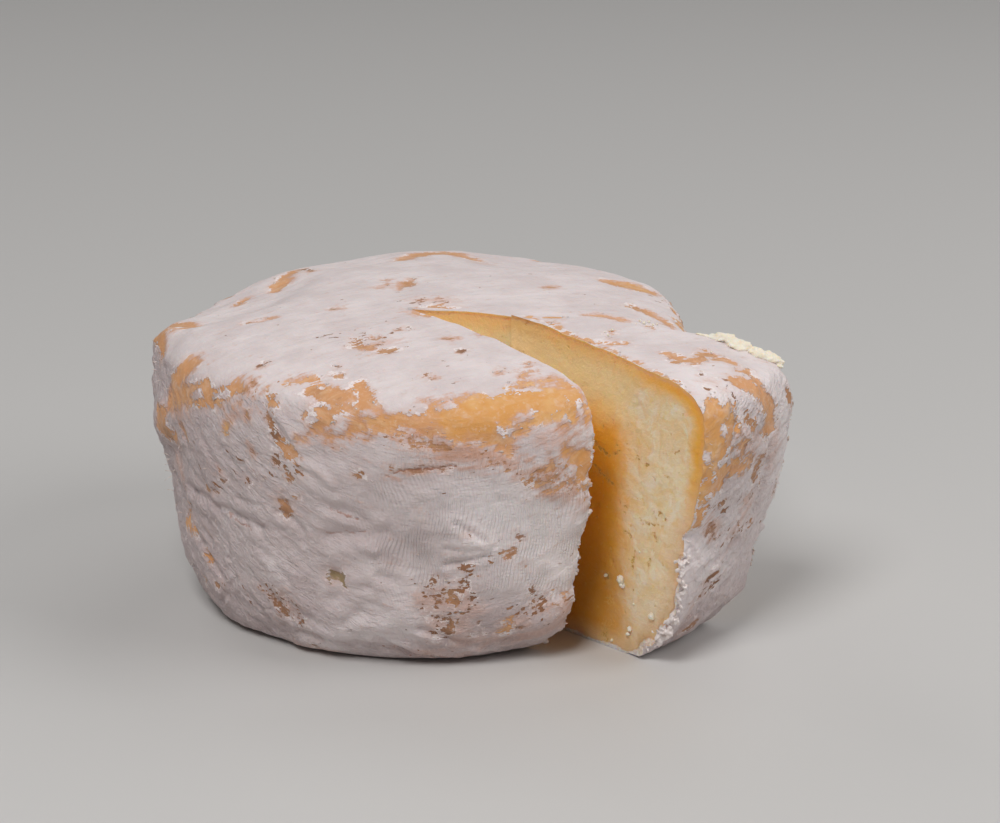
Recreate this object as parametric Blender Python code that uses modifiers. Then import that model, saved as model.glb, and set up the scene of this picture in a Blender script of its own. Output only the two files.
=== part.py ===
"""Brie: a small soft-ripened wheel cheese with one wedge cut and drawn part way out.

Two solids:
  brie_wheel  the wheel less the wedge, one piece down to the flat foot
  brie_wedge  the cut wedge, slid outward along the notch's far face

Lengths below are millimetres, turned to metres by MM. +Z is up, the foot is
on z = 0 and the whole sits with the centre of its bounding box over the origin.
"""
import math

import bpy
from mathutils import Matrix, Vector

MM = 0.001

# ---- driving sizes (mm, degrees) ------------------------------------------
HEIGHT = 55.5            # foot to the edge of the flat top
CROWN = 3.2              # rise of the top from its edge to the middle
TOP_LEAN_X = 0.3         # the top is a little higher towards +X ...
TOP_LEAN_Y = -0.45       # ... and lower towards +Y, per 50 mm
CROWN_POWER = 2.2

# outline of the rim, radius every 30 degrees from +X, turning left
RIM_RADII = (49.4, 52.0, 51.5, 51.4, 49.9, 49.2, 52.8, 51.6, 50.0, 51.0, 52.4, 51.7)
# how much of the side's inward lean is used, every 60 degrees from +X
SIDE_LEAN = (0.80, 0.93, 1.02, 0.64, 0.60, 0.82)

# section of the side: share of the rim radius, share of HEIGHT,
# from the edge of the flat foot up to the edge of the crown
SIDE_SECTION = ((0.610, 0.000), (0.672, 0.020), (0.735, 0.064), (0.798, 0.122),
                (0.850, 0.200), (0.886, 0.305), (0.910, 0.420), (0.939, 0.540),
                (0.974, 0.650), (0.997, 0.750), (1.000, 0.830), (0.983, 0.900),
                (0.936, 0.948), (0.853, 0.981))
RIM_ROW = 10             # the row of SIDE_SECTION that is the widest
ROWS_PER_STEP = 2        # rows of the solid between two rows of the section
CROWN_ROWS = 7           # rows from the edge of the crown to its middle
FOOT_ROWS = 2            # rows across the flat foot
ROUND_STEPS = 80         # flats round the wheel

NOTCH_TIP = (-3.5, -10.6)   # plan position of the point of the notch
NOTCH_NEAR_DEG = -44.1      # direction of the notch's near face
NOTCH_FAR_DEG = -9.1        # direction of the notch's far face
PULL = (18.6, -3.45)        # how far the wedge is drawn out
WEDGE_TURN_DEG = -0.5       # turn of the drawn wedge about its point
CUTTER_REACH = 95.0
CUTTER_OVER = 10.0

RIND_COLOUR = (0.62, 0.56, 0.54, 1.0)
WEDGE_COLOUR = (0.70, 0.60, 0.45, 1.0)

MEAN_RADIUS = sum(RIM_RADII) / len(RIM_RADII)


# ---- form -----------------------------------------------------------------
def spline(a, b, c, d, t):
    """Value between b and c on a smooth curve through the four."""
    return 0.5 * (2 * b + (c - a) * t + (2 * a - 5 * b + 4 * c - d) * t * t
                  + (3 * b - a - 3 * c + d) * t ** 3)


def around(values, angle):
    """Smooth closed curve through values spaced evenly round the circle."""
    n = len(values)
    x = (angle / (2 * math.pi) * n) % n
    i = int(math.floor(x)) % n
    return spline(values[i - 1], values[i], values[(i + 1) % n], values[(i + 2) % n], x - math.floor(x))


def along(rows, steps):
    """Smooth open curve through the rows, as (share, share) pairs."""
    first = tuple(2 * rows[0][k] - rows[1][k] for k in (0, 1))
    last = tuple(2 * rows[-1][k] - rows[-2][k] for k in (0, 1))
    pad = (first,) + tuple(rows) + (last,)
    out = []
    for i in range(len(rows) - 1):
        for s in range(steps):
            t = s / steps
            out.append(tuple(spline(pad[i][k], pad[i + 1][k], pad[i + 2][k], pad[i + 3][k], t) for k in (0, 1)))
    out.append(tuple(rows[-1]))
    return out


def round_profile():
    """(radius, height) down the outer side, top to bottom, of the even wheel."""
    side = along(SIDE_SECTION, ROWS_PER_STEP)
    side = [(r, max(z, 0.0)) for r, z in side]
    edge_r, edge_z = side[-1][0] * MEAN_RADIUS, side[-1][1] * HEIGHT
    rise = HEIGHT + CROWN - edge_z
    top = []
    for k in range(CROWN_ROWS):
        share = k / CROWN_ROWS
        top.append((edge_r * share, HEIGHT + CROWN - rise * share ** CROWN_POWER))
    down = [(r * MEAN_RADIUS, z * HEIGHT) for r, z in reversed(side)]
    foot = [(down[-1][0] * (1 - (k + 1) / FOOT_ROWS), 0.0) for k in range(FOOT_ROWS)]
    return top + down + foot


def hand_form(co):
    """Take a point of the even wheel to the hand-formed one."""
    x, y, z = co.x / MM, co.y / MM, co.z / MM
    r = math.hypot(x, y)
    if r < 1e-6:
        lean = 0.0
        return Vector((0.0, 0.0, z * MM))
    a = math.atan2(y, x)
    rim = around(RIM_RADII, a)
    lean_share = around(SIDE_LEAN, a)
    share = r / MEAN_RADIUS
    foot = SIDE_SECTION[0][0]
    rim_z = SIDE_SECTION[RIM_ROW][1] * HEIGHT
    if z < 1e-6:
        new = rim * (1 - lean_share * (1 - foot)) * share / foot
    elif z < rim_z:
        new = rim * (1 - lean_share * (1 - share))
    else:
        new = rim * share
    tilt = TOP_LEAN_X * math.cos(a) + TOP_LEAN_Y * math.sin(a)
    part = z / HEIGHT
    z = z + tilt * part * part * min(1.0, new / 50.0)
    return Vector((new * x / r * MM, new * y / r * MM, z * MM))


# ---- scene set-up ----------------------------------------------------------
for ob in list(bpy.data.objects):
    bpy.data.objects.remove(ob, do_unlink=True)


def collection(name):
    col = bpy.data.collections.new(name)
    bpy.context.scene.collection.children.link(col)
    return col


part_col = collection("brie")
cutter_col = collection("cutters")


def material(name, colour, roughness):
    mat = bpy.data.materials.new(name)
    mat.use_nodes = True
    node = mat.node_tree.nodes.get("Principled BSDF")
    node.inputs["Base Color"].default_value = colour
    node.inputs["Roughness"].default_value = roughness
    node.inputs["Metallic"].default_value = 0.0
    return mat


def add(name, mesh, col):
    ob = bpy.data.objects.new(name, mesh)
    col.objects.link(ob)
    return ob


def evaluated(ob):
    """The object's mesh with its modifiers worked in."""
    deps = bpy.context.evaluated_depsgraph_get()
    return bpy.data.meshes.new_from_object(ob.evaluated_get(deps))


# even wheel: the section turned round the Z axis
rows = round_profile()
line = bpy.data.meshes.new("profile")
line.from_pydata([(r * MM, 0.0, z * MM) for r, z in rows],
                 [(i, i + 1) for i in range(len(rows) - 1)], [])
turned = add("even_wheel", line, cutter_col)
screw = turned.modifiers.new("turn", "SCREW")
screw.axis = "Z"
screw.angle = 2 * math.pi
screw.steps = ROUND_STEPS
screw.render_steps = ROUND_STEPS
screw.use_merge_vertices = True
screw.merge_threshold = 0.00005
screw.use_smooth_shade = True
bpy.context.view_layer.update()

whole = evaluated(turned)
for v in whole.vertices:
    v.co = hand_form(v.co)
whole.update()
bpy.data.objects.remove(turned, do_unlink=True)


def notch_cutter(name):
    """Upright three-cornered prism over the notch, point at NOTCH_TIP."""
    a, b = math.radians(NOTCH_NEAR_DEG), math.radians(NOTCH_FAR_DEG)
    tx, ty = NOTCH_TIP
    plan = [(tx, ty),
            (tx + CUTTER_REACH * math.cos(a), ty + CUTTER_REACH * math.sin(a)),
            (tx + CUTTER_REACH * math.cos(b), ty + CUTTER_REACH * math.sin(b))]
    low, high = -CUTTER_OVER, HEIGHT + CROWN + CUTTER_OVER
    verts = [(x * MM, y * MM, z * MM) for z in (low, high) for x, y in plan]
    faces = [(2, 1, 0), (3, 4, 5), (0, 1, 4, 3), (1, 2, 5, 4), (2, 0, 3, 5)]
    mesh = bpy.data.meshes.new(name)
    mesh.from_pydata(verts, [], faces)
    ob = add(name, mesh, cutter_col)
    ob.hide_render = True
    ob.display_type = "WIRE"
    return ob


cutter = notch_cutter("notch_cutter")


def cut_piece(name, mesh, operation, mat):
    ob = add(name, mesh, part_col)
    cut = ob.modifiers.new("cut", "BOOLEAN")
    cut.operation = operation
    cut.solver = "EXACT"
    cut.object = cutter
    bpy.context.view_layer.update()
    done = evaluated(ob)
    ob.modifiers.remove(cut)
    ob.data = done
    done.name = name
    done.materials.clear()
    done.materials.append(mat)
    return ob


wheel = cut_piece("brie_wheel", whole.copy(), "DIFFERENCE", material("bloomy_rind", RIND_COLOUR, 0.75))
wedge = cut_piece("brie_wedge", whole.copy(), "INTERSECT", material("cut_wedge", WEDGE_COLOUR, 0.65))

# the wedge turns about its point and is drawn out of the notch
tip = Vector((NOTCH_TIP[0] * MM, NOTCH_TIP[1] * MM, 0.0))
pull = Vector((PULL[0] * MM, PULL[1] * MM, 0.0))
wedge.data.transform(Matrix.Translation(tip + pull)
                     @ Matrix.Rotation(math.radians(WEDGE_TURN_DEG), 4, "Z")
                     @ Matrix.Translation(-tip))

# bounding box of both pieces over the origin
points = [v.co for ob in (wheel, wedge) for v in ob.data.vertices]
centre = Vector(((min(p.x for p in points) + max(p.x for p in points)) / 2,
                 (min(p.y for p in points) + max(p.y for p in points)) / 2,
                 min(p.z for p in points)))
for ob in (wheel, wedge):
    ob.data.transform(Matrix.Translation(-centre))
    ob.data.update()
cutter.data.transform(Matrix.Translation(-centre))
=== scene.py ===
"""Looks of the brie: a bloomy wheel with one wedge drawn out of its notch.

The skin and the cut faces are built as fine meshes on the same surface as the
CAD solids, worked over with bumps, creases and a torn white bloom, and given
procedural materials. Lengths inside are millimetres; meshes are written in metres.
"""
import math
import bmesh
import bpy
import numpy as np
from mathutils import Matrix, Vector
from mathutils.bvhtree import BVHTree


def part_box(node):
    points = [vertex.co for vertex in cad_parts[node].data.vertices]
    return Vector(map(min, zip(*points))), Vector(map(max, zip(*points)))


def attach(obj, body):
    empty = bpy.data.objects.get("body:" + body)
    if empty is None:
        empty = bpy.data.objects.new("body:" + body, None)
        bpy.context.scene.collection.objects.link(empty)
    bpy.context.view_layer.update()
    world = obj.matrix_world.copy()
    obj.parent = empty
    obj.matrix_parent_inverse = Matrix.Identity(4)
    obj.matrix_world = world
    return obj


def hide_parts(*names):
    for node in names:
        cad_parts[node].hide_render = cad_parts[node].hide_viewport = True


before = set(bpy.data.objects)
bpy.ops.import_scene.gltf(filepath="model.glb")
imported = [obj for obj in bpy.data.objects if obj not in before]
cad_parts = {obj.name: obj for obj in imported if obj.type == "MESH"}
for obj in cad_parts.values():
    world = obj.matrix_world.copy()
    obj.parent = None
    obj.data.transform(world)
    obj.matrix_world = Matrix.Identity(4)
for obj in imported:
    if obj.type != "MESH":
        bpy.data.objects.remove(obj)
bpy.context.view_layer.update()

MM = 0.001

# ---------------------------------------------------------------- the form --
# the same sizes as the solids
HEIGHT, CROWN, CROWN_POWER = 55.5, 3.2, 2.2
TOP_LEAN_X, TOP_LEAN_Y = 0.3, -0.45
RIM_RADII = np.array((49.4, 52.0, 51.5, 51.4, 49.9, 49.2, 52.8, 51.6, 50.0, 51.0, 52.4, 51.7))
SIDE_LEAN = np.array((0.80, 0.93, 1.02, 0.64, 0.60, 0.82))
SIDE_SECTION = np.array(((0.610, 0.000), (0.672, 0.020), (0.735, 0.064), (0.798, 0.122),
                         (0.850, 0.200), (0.886, 0.305), (0.910, 0.420), (0.939, 0.540),
                         (0.974, 0.650), (0.997, 0.750), (1.000, 0.830), (0.983, 0.900),
                         (0.936, 0.948), (0.853, 0.981)))
RIM_ROW = 10
TIP = np.array((-3.5, -10.6))
NEAR, FAR = math.radians(-44.1), math.radians(-9.1)
PULL = np.array((18.6, -3.45))
TURN = math.radians(-0.5)

# the solids stand with their box over the origin: the wedge's point tells the shift
_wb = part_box("brie_wedge")
SHIFT = np.array(((TIP[0] + PULL[0]) - _wb[0][0] / MM, (TIP[1] + PULL[1]) - _wb[1][1] / MM))


def spline(a, b, c, d, t):
    return 0.5 * (2 * b + (c - a) * t + (2 * a - 5 * b + 4 * c - d) * t * t
                  + (3 * b - a - 3 * c + d) * t ** 3)


def around(values, angle):
    n = len(values)
    x = (np.asarray(angle) / (2 * math.pi) * n) % n
    i = np.floor(x).astype(int) % n
    return spline(values[(i - 1) % n], values[i], values[(i + 1) % n], values[(i + 2) % n], x - np.floor(x))


def along(rows, steps):
    pad = np.vstack((2 * rows[0] - rows[1], rows, 2 * rows[-1] - rows[-2]))
    out = []
    for i in range(len(rows) - 1):
        for s in range(steps):
            out.append(spline(pad[i], pad[i + 1], pad[i + 2], pad[i + 3], s / steps))
    out.append(rows[-1])
    return np.array(out)


def side_columns(count):
    """Share pairs, evenly spaced along the section from the crown's edge to the foot."""
    dense = along(SIDE_SECTION, 40)[::-1]
    dense[:, 1] = np.maximum(dense[:, 1], 0)
    mm = dense * (51.0, HEIGHT)
    s = np.r_[0, np.cumsum(np.hypot(*np.diff(mm, axis=0).T))]
    want = np.linspace(0, s[-1], count + 1)
    return np.stack([np.interp(want, s, dense[:, k]) for k in (0, 1)], 1)


def lean_z(z, a, r):
    tilt = TOP_LEAN_X * np.cos(a) + TOP_LEAN_Y * np.sin(a)
    return z + tilt * (z / HEIGHT) ** 2 * np.minimum(1.0, r / 50.0)


def side_ring(share, zshare, a):
    rim = around(RIM_RADII, a)
    if zshare < SIDE_SECTION[RIM_ROW, 1]:
        r = rim * (1 - around(SIDE_LEAN, a) * (1 - share))
    else:
        r = rim * share
    z = lean_z(zshare * HEIGHT * np.ones_like(r), a, r)
    return np.stack((r * np.cos(a), r * np.sin(a), z), -1)


def top_z(x, y):
    a, r = np.arctan2(y, x), np.hypot(x, y)
    edge = SIDE_SECTION[-1]
    share = r / (edge[0] * around(RIM_RADII, a))
    z = HEIGHT + CROWN - (HEIGHT + CROWN - edge[1] * HEIGHT) * share ** CROWN_POWER
    return lean_z(z, a, r)


def section_grid(angles, n_top, n_side, n_foot):
    """Points of the skin on upright half planes through the notch's point.

    Rows are the plane angles; columns run from the top of the point out over
    the crown, down the side and back under the foot. Poles are left out."""
    fine = np.linspace(-math.pi, math.pi, 2881)[:-1]
    cols = []
    d = np.stack((np.cos(angles), np.sin(angles)), -1)
    sides = side_columns(n_side)
    rings = []
    for share, zshare in sides:
        ring = side_ring(share, zshare, fine)
        alpha = np.unwrap(np.arctan2(ring[:, 1] - TIP[1], ring[:, 0] - TIP[0]))
        order = np.argsort(np.mod(alpha, 2 * math.pi))
        al = np.mod(alpha, 2 * math.pi)[order]
        al = np.r_[al[-1] - 2 * math.pi, al, al[0] + 2 * math.pi]
        rg = ring[order]
        rg = np.vstack((rg[-1:], rg, rg[:1]))
        q = np.mod(angles, 2 * math.pi)
        rings.append(np.stack([np.interp(q, al, rg[:, k]) for k in range(3)], -1))
    edge = rings[0][:, :2] - TIP
    s_edge = np.hypot(edge[:, 0], edge[:, 1])
    for k in range(1, n_top):
        t = k / n_top
        s = s_edge * t * (1 + 0.38 * (1 - t))
        xy = TIP + d * s[:, None]
        cols.append(np.column_stack((xy, top_z(xy[:, 0], xy[:, 1]))))
    cols += rings
    foot = rings[-1][:, :2] - TIP
    s_foot = np.hypot(foot[:, 0], foot[:, 1])
    for k in range(1, n_foot):
        s = s_foot * (1 - k / n_foot)
        xy = TIP + d * s[:, None]
        cols.append(np.column_stack((xy, np.zeros(len(xy)))))
    grid = np.stack(cols, 1)
    top = np.array((TIP[0], TIP[1], float(top_z(TIP[0], TIP[1]))))
    low = np.array((TIP[0], TIP[1], 0.0))
    return grid, top, low


def place(p, wedge):
    """From the form's own plan to the frame's, drawing the wedge out."""
    p = np.array(p, float)
    if wedge:
        c, s = math.cos(TURN), math.sin(TURN)
        x, y = p[..., 0] - TIP[0], p[..., 1] - TIP[1]
        p[..., 0] = c * x - s * y + TIP[0] + PULL[0]
        p[..., 1] = s * x + c * y + TIP[1] + PULL[1]
    p[..., 0] -= SHIFT[0]
    p[..., 1] -= SHIFT[1]
    return p


# -------------------------------------------------------------------- noise --
class Noise:
    def __init__(self, seed):
        rng = np.random.RandomState(seed)
        self.perm = np.concatenate([rng.permutation(256)] * 3)
        g = rng.normal(size=(256, 3))
        self.grad = g / np.linalg.norm(g, axis=1)[:, None]

    def __call__(self, p):
        """Gradient noise, about -1 to 1, period 1 unit."""
        i = np.floor(p).astype(int)
        f = p - i
        i &= 255
        u = f * f * f * (f * (f * 6 - 15) + 10)
        out = 0
        for dx in (0, 1):
            for dy in (0, 1):
                for dz in (0, 1):
                    h = self.perm[self.perm[self.perm[i[:, 0] + dx] + i[:, 1] + dy] + i[:, 2] + dz]
                    dot = np.einsum("ij,ij->i", self.grad[h], f - (dx, dy, dz))
                    w = (u[:, 0] if dx else 1 - u[:, 0]) * (u[:, 1] if dy else 1 - u[:, 1]) * (u[:, 2] if dz else 1 - u[:, 2])
                    out = out + w * dot
        return out * 1.55


_noises = {}


def fbm(p, period, octaves=3, seed=0, gain=0.5):
    n = _noises.setdefault(seed, Noise(seed))
    out, amp, tot = 0, 1.0, 0.0
    for k in range(octaves):
        out = out + amp * n(p / period + 17.3 * k)
        tot += amp
        amp *= gain
        period *= 0.5
    return out / tot


def smooth(a, b, x):
    t = np.clip((x - a) / (b - a), 0, 1)
    return t * t * (3 - 2 * t)


# ------------------------------------------------------------------- camera --
# fitted to the photograph's view of the form, for a 1000 x 823 frame
FOCAL_PX = 3000.0
TILT = math.radians(19.02)
CAMERA = np.array((13.02 - SHIFT[0], -540.83 - SHIFT[1], 221.35))

_trees = {}
for _name in ("brie_wheel", "brie_wedge"):
    _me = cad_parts[_name].data
    _trees[_name] = BVHTree.FromPolygons([v.co / MM for v in _me.vertices],
                                         [tuple(p.vertices) for p in _me.polygons])


def aim(u, v):
    return (np.array((1, 0, 0)) * (u - 500) / FOCAL_PX
            + np.array((0, math.cos(TILT), -math.sin(TILT)))
            - np.array((0, math.sin(TILT), math.cos(TILT))) * (v - 411.5) / FOCAL_PX)


def spot(u, v, node="brie_wheel"):
    """The place on a piece that the view shows at (u, v); misses step inward."""
    mid = (430.0, 440.0) if node == "brie_wheel" else (700.0, 480.0)
    for k in range(12):
        hit = _trees[node].ray_cast(Vector(CAMERA), Vector(aim(u, v)).normalized())
        if hit[0] is not None:
            return np.array(hit[0])
        u, v = u + (mid[0] - u) * 0.012, v + (mid[1] - v) * 0.012
    return None


# ------------------------------------------------------------- placed marks --
class Marks:
    """Strokes on a surface, each a run of (place, half width in mm)."""

    def __init__(self):
        self.items = []

    def add(self, pts, node="brie_wheel", value=1.0):
        got = [(spot(p[0], p[1], node), p[2]) for p in pts]
        got = [(a, w) for a, w in got if a is not None]
        if got:
            self.items.append((np.array([a for a, _ in got]), np.array([w for _, w in got]), value))

    def add_at(self, pts, widths, value=1.0):
        self.items.append((np.array(pts, float), np.array(widths, float), value))

    def near(self, P, reach):
        """For each mark: index of points within reach, distance less half width, the mark."""
        for pts, w, value in self.items:
            lo, hi = pts.min(0) - w.max() - reach, pts.max(0) + w.max() + reach
            ix = np.where(((P > lo) & (P < hi)).all(1))[0]
            if len(ix) == 0:
                continue
            q = P[ix]
            best = np.full(len(ix), 1e9)
            if len(pts) == 1:
                best = np.linalg.norm(q - pts[0], axis=1) - w[0]
            for k in range(len(pts) - 1):
                a, b = pts[k], pts[k + 1]
                ab = b - a
                t = np.clip(((q - a) @ ab) / max(ab @ ab, 1e-9), 0, 1)
                dd = np.linalg.norm(q - a - t[:, None] * ab, axis=1) - (w[k] + (w[k + 1] - w[k]) * t)
                best = np.minimum(best, dd)
            yield ix, best, value, w.max()

    def field(self, P, soft=1.5, reach=4.0):
        """0.5 at a mark's edge, rising inside it; and the value of the strongest mark."""
        f = np.full(len(P), -0.6)
        val = np.zeros(len(P))
        for ix, d, value, wmax in self.near(P, reach):
            g = 0.5 - d / (2 * soft)
            up = g > f[ix]
            f[ix[up]] = g[up]
            val[ix[up]] = value
        return np.clip(f, -0.6, 1.4), val


bare = Marks()      # the bloom is gone and the tan skin shows; value = how orange
white = Marks()     # islands of bloom left inside them
thin = Marks()      # bloom worn thin, pinkish
speck = Marks()     # clusters of small torn holes
crease = Marks()    # narrow folds; value = depth in mm
lump = Marks()      # soft bumps and hollows; value = height in mm
comb = Marks()      # the cloth print
thick_bloom_and_light = Marks()     # where the bloom is thickest and whitest, and painted light that brightens shaded parts of the sides
rosy = Marks()      # rust-pink haze where hardly any bloom is left
crack = Marks()     # splits and pinholes in the cut paste
stain = Marks()     # browner stains in the cut paste
swells = []         # broad rises and hollows: (place, height in mm)

W, G = "brie_wheel", "brie_wedge"

# left rim and side
for pts, tone in (
    (((156, 338, 1.6), (165, 327, 2.2), (180, 321, 2.2), (196, 321, 1.4)), .5),
    (((153, 348, 1.6), (156, 338, 1.8)), .5),
    (((163, 402, 2.2), (172, 388, 3.2), (180, 373, 3.0), (192, 363, 2.2)), .5),
    (((168, 400, 2.2), (188, 394, 2.2), (205, 389, 1.5)), .55),
    (((201, 400, 1.3), (213, 399, 1.5), (223, 393, 1.5), (237, 387, 1.3)), .65),
    (((241, 391, .3), (248, 390, .3)), .3),
    (((252, 381, .4), (255, 385, .3)), .2),
    (((262, 365, .5), (265, 363, .3)), .1),
    (((238, 403, .6), (242, 405, .5)), .45),
    (((254, 396, .5), (256, 400, .5)), .3),
    (((258, 390, .3), (266, 395, .8), (272, 403, 1.0)), .5),
    (((265, 396, .4), (270, 401, .8), (274, 407, .6)), .45), (((267, 413, .3), (272, 424, .45), (276, 437, .5)), .25),
    (((280, 443, .7), (286, 449, 1.2), (294, 455, 1.2)), .5),
    (((284, 384, .5), (296, 381, 1.0), (316, 379.5, 1.2), (322, 383, 1.1)), .6),
    (((310, 391, 1.0), (330, 393, 1.8), (342, 398, 2.0), (350, 400, 1.6)), .45),
    (((360, 384, 1.2), (364, 394, 1.7), (365, 404, 1.4)), .55),
    (((350, 390, .6), (356, 384, .7)), .5),
    (((331, 375, .3), (342, 375, .5)), .4),
    (((299, 442, .6), (312, 433, .9), (326, 423, 1.0)), .4),
    (((321, 411, 1.0), (331, 416, 1.2), (345, 408, 1.0), (352, 412, 1.5), (360, 420, 1.7)), .55),
    (((326, 437, .9), (339, 436, 1.2), (351, 431, 1.3), (364, 426, 1.6)), .5),
    (((337, 447, .25), (349, 443, .3)), .2),
    (((158, 411, 1.6), (163, 422, 3.0), (168, 433, 2.4), (175, 441, 1.2)), .45),
    (((180, 427, .8), (185, 433, 1.3)), .4),
    (((228, 424, .5), (228, 429, .6)), .9),
    (((248, 414, .4),), .2), (((303, 414, .6),), .5), (((234, 417, .3),), .2),
    (((251, 447, .35), (253.5, 454, .45)), .1),
    (((276, 462, .4),), .15), (((287, 470, .6), (289, 478, .8)), .25), (((301, 470, .9), (304, 474, .6)), .25),
    (((359, 474, .6),), .3), (((392, 471, .5),), .3),
    (((220, 472, .3), (222, 478, .3)), .1), (((211, 490, .4), (216, 491, .5)), .2), (((246, 480, .3),), .2),
    (((262.5, 478, .35),), .1), (((283, 504, 1.0), (286, 511, 1.0)), .25), (((299, 499, .5),), .25),
    (((185, 506, .6), (186, 523, 1.0), (194, 531, .6)), .75), (((206, 551, .5), (209, 560, .7)), .45),
    (((206, 576, .3), (208, 581, .3)), .4), (((219.5, 583, .35), (226, 582, .35)), .2),
    (((271, 590, .5), (277, 600, 1.1), (284, 612, 1.0), (293, 616, .6), (297, 609, .4)), .16), (((288, 600, .25), (293, 606, .25)), .1),
    (((301, 617, .4), (303, 626, .35)), .1), (((288, 604, .4),), .2),
    (((331, 576, .7), (338, 579, 1.0), (342, 586, .6)), -1.0),
    (((316, 641, .5), (320, 646, .5)), .2), (((262, 588, .3),), .2),
):
    bare.add(pts, W, tone)

for pts, tone in (
    (((158, 425, 1.4), (166, 432, 1.3), (175, 436, .8)), .4), (((162, 334, 1.0), (174, 328, 1.1), (190, 322, .8)), .5),
):
    bare.add(pts, W, tone)

# top of the wheel
for pts, tone in (
    (((243, 323, .4), (259, 320, .9), (274, 317, .5)), .3),
    (((353, 338, .6), (355, 345, 1.1), (372, 349.5, .9), (392, 351, 1.2)), .35),
    (((374, 337, .9), (378, 341, .6)), .25),
    (((331, 308, .25), (340, 307.5, .3)), -.6),
    (((337, 365.5, .3),), .1), (((461, 351, .4),), .1),
    (((401, 259, 1.5), (425, 254.5, 2.4), (451, 253.6, 2.2), (482, 258, 1.0)), .6),
    (((400, 287, .8), (406, 284, 1.6), (410, 280, 1.0)), .35),
    (((377, 287, .4), (388, 285, .6)), .25), (((386, 280, .4),), .25),
    (((555, 286, .5), (546, 288, .3)), .2),
    (((602, 280, 1.0), (620, 284, 2.4), (640, 287, 2.8), (656, 292, 1.6)), .75),
    (((634, 307, 1.2), (650, 313.5, 1.3), (664, 320.5, 1.2), (672, 328, .8)), .45),
    (((294, 271, 1.4), (282, 276, 1.8), (272, 281, 1.6)), .5), (((303, 268, .8), (312, 270, .5)), .3),
    (((232, 293, .8), (243, 288, .7)), .5),
    (((404, 312, .4), (412, 312, .7), (427, 316, .6)), .6),
    (((424, 307, .5), (440, 306, .8), (457, 308, .6)), .45),
    (((418, 300, .25), (426, 302, .3)), .2), (((440, 298, .25), (446, 301, .25)), .2),
    (((402, 330, .3), (410, 329, .4)), .1), (((443, 338, .3), (450, 338.5, .3)), .15), (((455, 339, .3),), .15),
    (((479, 334, .4), (484, 334.5, .3)), .2),
    (((519, 371, .6), (524, 378, .6), (520, 385, .7)), .5), (((528, 363, .3), (534, 372, .3)), .4),
    (((498, 372, .4),), .3), (((428, 375, .3), (434, 377, .4)), .2),
    (((540, 325, .2),), .2),
):
    bare.add(pts, W, tone)
bare.add(((586, 315, .5), (603, 316, .8), (622, 320.5, .8)), W, .6)

# the long bare band along the front shoulder
for pts, tone in (
    (((368, 419, 1.6), (385, 423, 1.8), (405, 424, 1.8), (425, 420, 2.0), (440, 417, 2.6)), .75),
    (((440, 417, 2.6), (460, 419, 4.0), (485, 415, 4.4), (505, 411, 4.0), (525, 405, 4.0), (545, 401, 3.8),
      (562, 397, 3.2), (574, 401, 2.6), (578, 411, 2.2)), 1.0),
    (((470, 434, 2.0), (480, 438, 1.8), (500, 432, 2.0), (520, 424, 2.0)), .8),
    (((424, 402, .5), (430, 404, .5)), .5), (((515, 385, .8), (523, 382, .9)), .7),
    (((545, 384, 1.0), (560, 382, 1.2), (572, 387, 1.0)), .75),
    (((372, 411, .9), (379, 409, .9)), .5),
    (((366, 438, .5), (374, 436, .6)), .4), (((396, 432, .8), (401, 434, .6)), .5),
    (((401, 443, .4), (415, 441, .9), (431, 445, .9), (443, 449, .6)), .35),
    (((420, 430, 1.2), (432, 434, 1.2), (440, 430, 1.2)), .5),
    (((496, 449, .9), (506, 443, 1.3), (511, 436, 1.0), (509, 452, .9)), .5),
    (((506, 462, .5), (508, 465, .4)), .3), (((488, 461, .4), (496, 465, .4)), .25),
    (((586, 405, .8), (588, 414, 1.0), (588, 424, .9)), .85),
    (((566, 449, 1.0), (573, 457, 1.7), (582, 460, 2.2), (584, 474, 1.9)), .8),
    (((551, 456, .6), (549, 471, .7)), .5), (((557, 428, .4), (566, 425, .4)), .4),
    (((560, 466, .5), (566, 476, .7), (577, 484, .7)), .35),
    (((542, 473, .5), (552, 471, .7), (556, 480, .6), (567, 487, .6)), .3),
    (((533, 480, .8), (537, 482, .6)), .4), (((542, 490.5, .5), (559, 491.5, .5)), .35),
    (((527, 496, .4),), .3), (((584, 488, .8), (586, 497, .5)), .7),
    (((390, 472.5, .12), (408, 469.5, .16), (426, 467.5, .2), (449, 468.5, .12)), .15),
    (((468, 533, .3),), .1), (((519, 536, .35),), .1),
    (((502, 554, .4), (508, 555, .4), (511, 550, .3)), .2), (((524, 565, .35),), .5),
    (((466, 566, .3), (469, 564, .25)), .1), (((473, 573, .3),), .2), (((433, 582, .35), (430, 585, .25)), .1),
    (((465, 578, .55), (461, 586, .65)), .22), (((453, 591, .7), (450, 600, .95), (457, 604, .5)), .25),
    (((430, 597, .5), (436, 601, .6), (438, 607, .4)), .15), (((440, 596, .3),), .15), (((421, 607, .35),), .15),
    (((467, 602, .3), (474, 599, .35)), .1), (((431, 618, .4), (440, 618, .55), (449, 620, .5), (452, 625, .3)), .12),
    (((438, 627, .4), (447, 630, .35)), .12), (((432, 633, .3), (436, 637, .3)), .15), (((442, 640, .3),), .15),
    (((468, 635, .35), (478, 631, .35)), .2), (((478, 621, .3),), .1),
    (((505, 629, .75), (511, 619, .75)), .75), (((516, 616, .3), (522, 611, .35)), .15), (((519, 625, .3),), .15),
    (((537, 603, .4), (540, 600, .6)), .15), (((535, 596, .2), (531, 590, .2)), .1),
    (((556, 595, .8), (561, 592, .8)), .45),
    (((566, 611, .7), (571, 601, .6)), .6), (((549, 608, .35), (555, 606, .3)), .15),
):
    bare.add(pts, W, tone)

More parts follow.
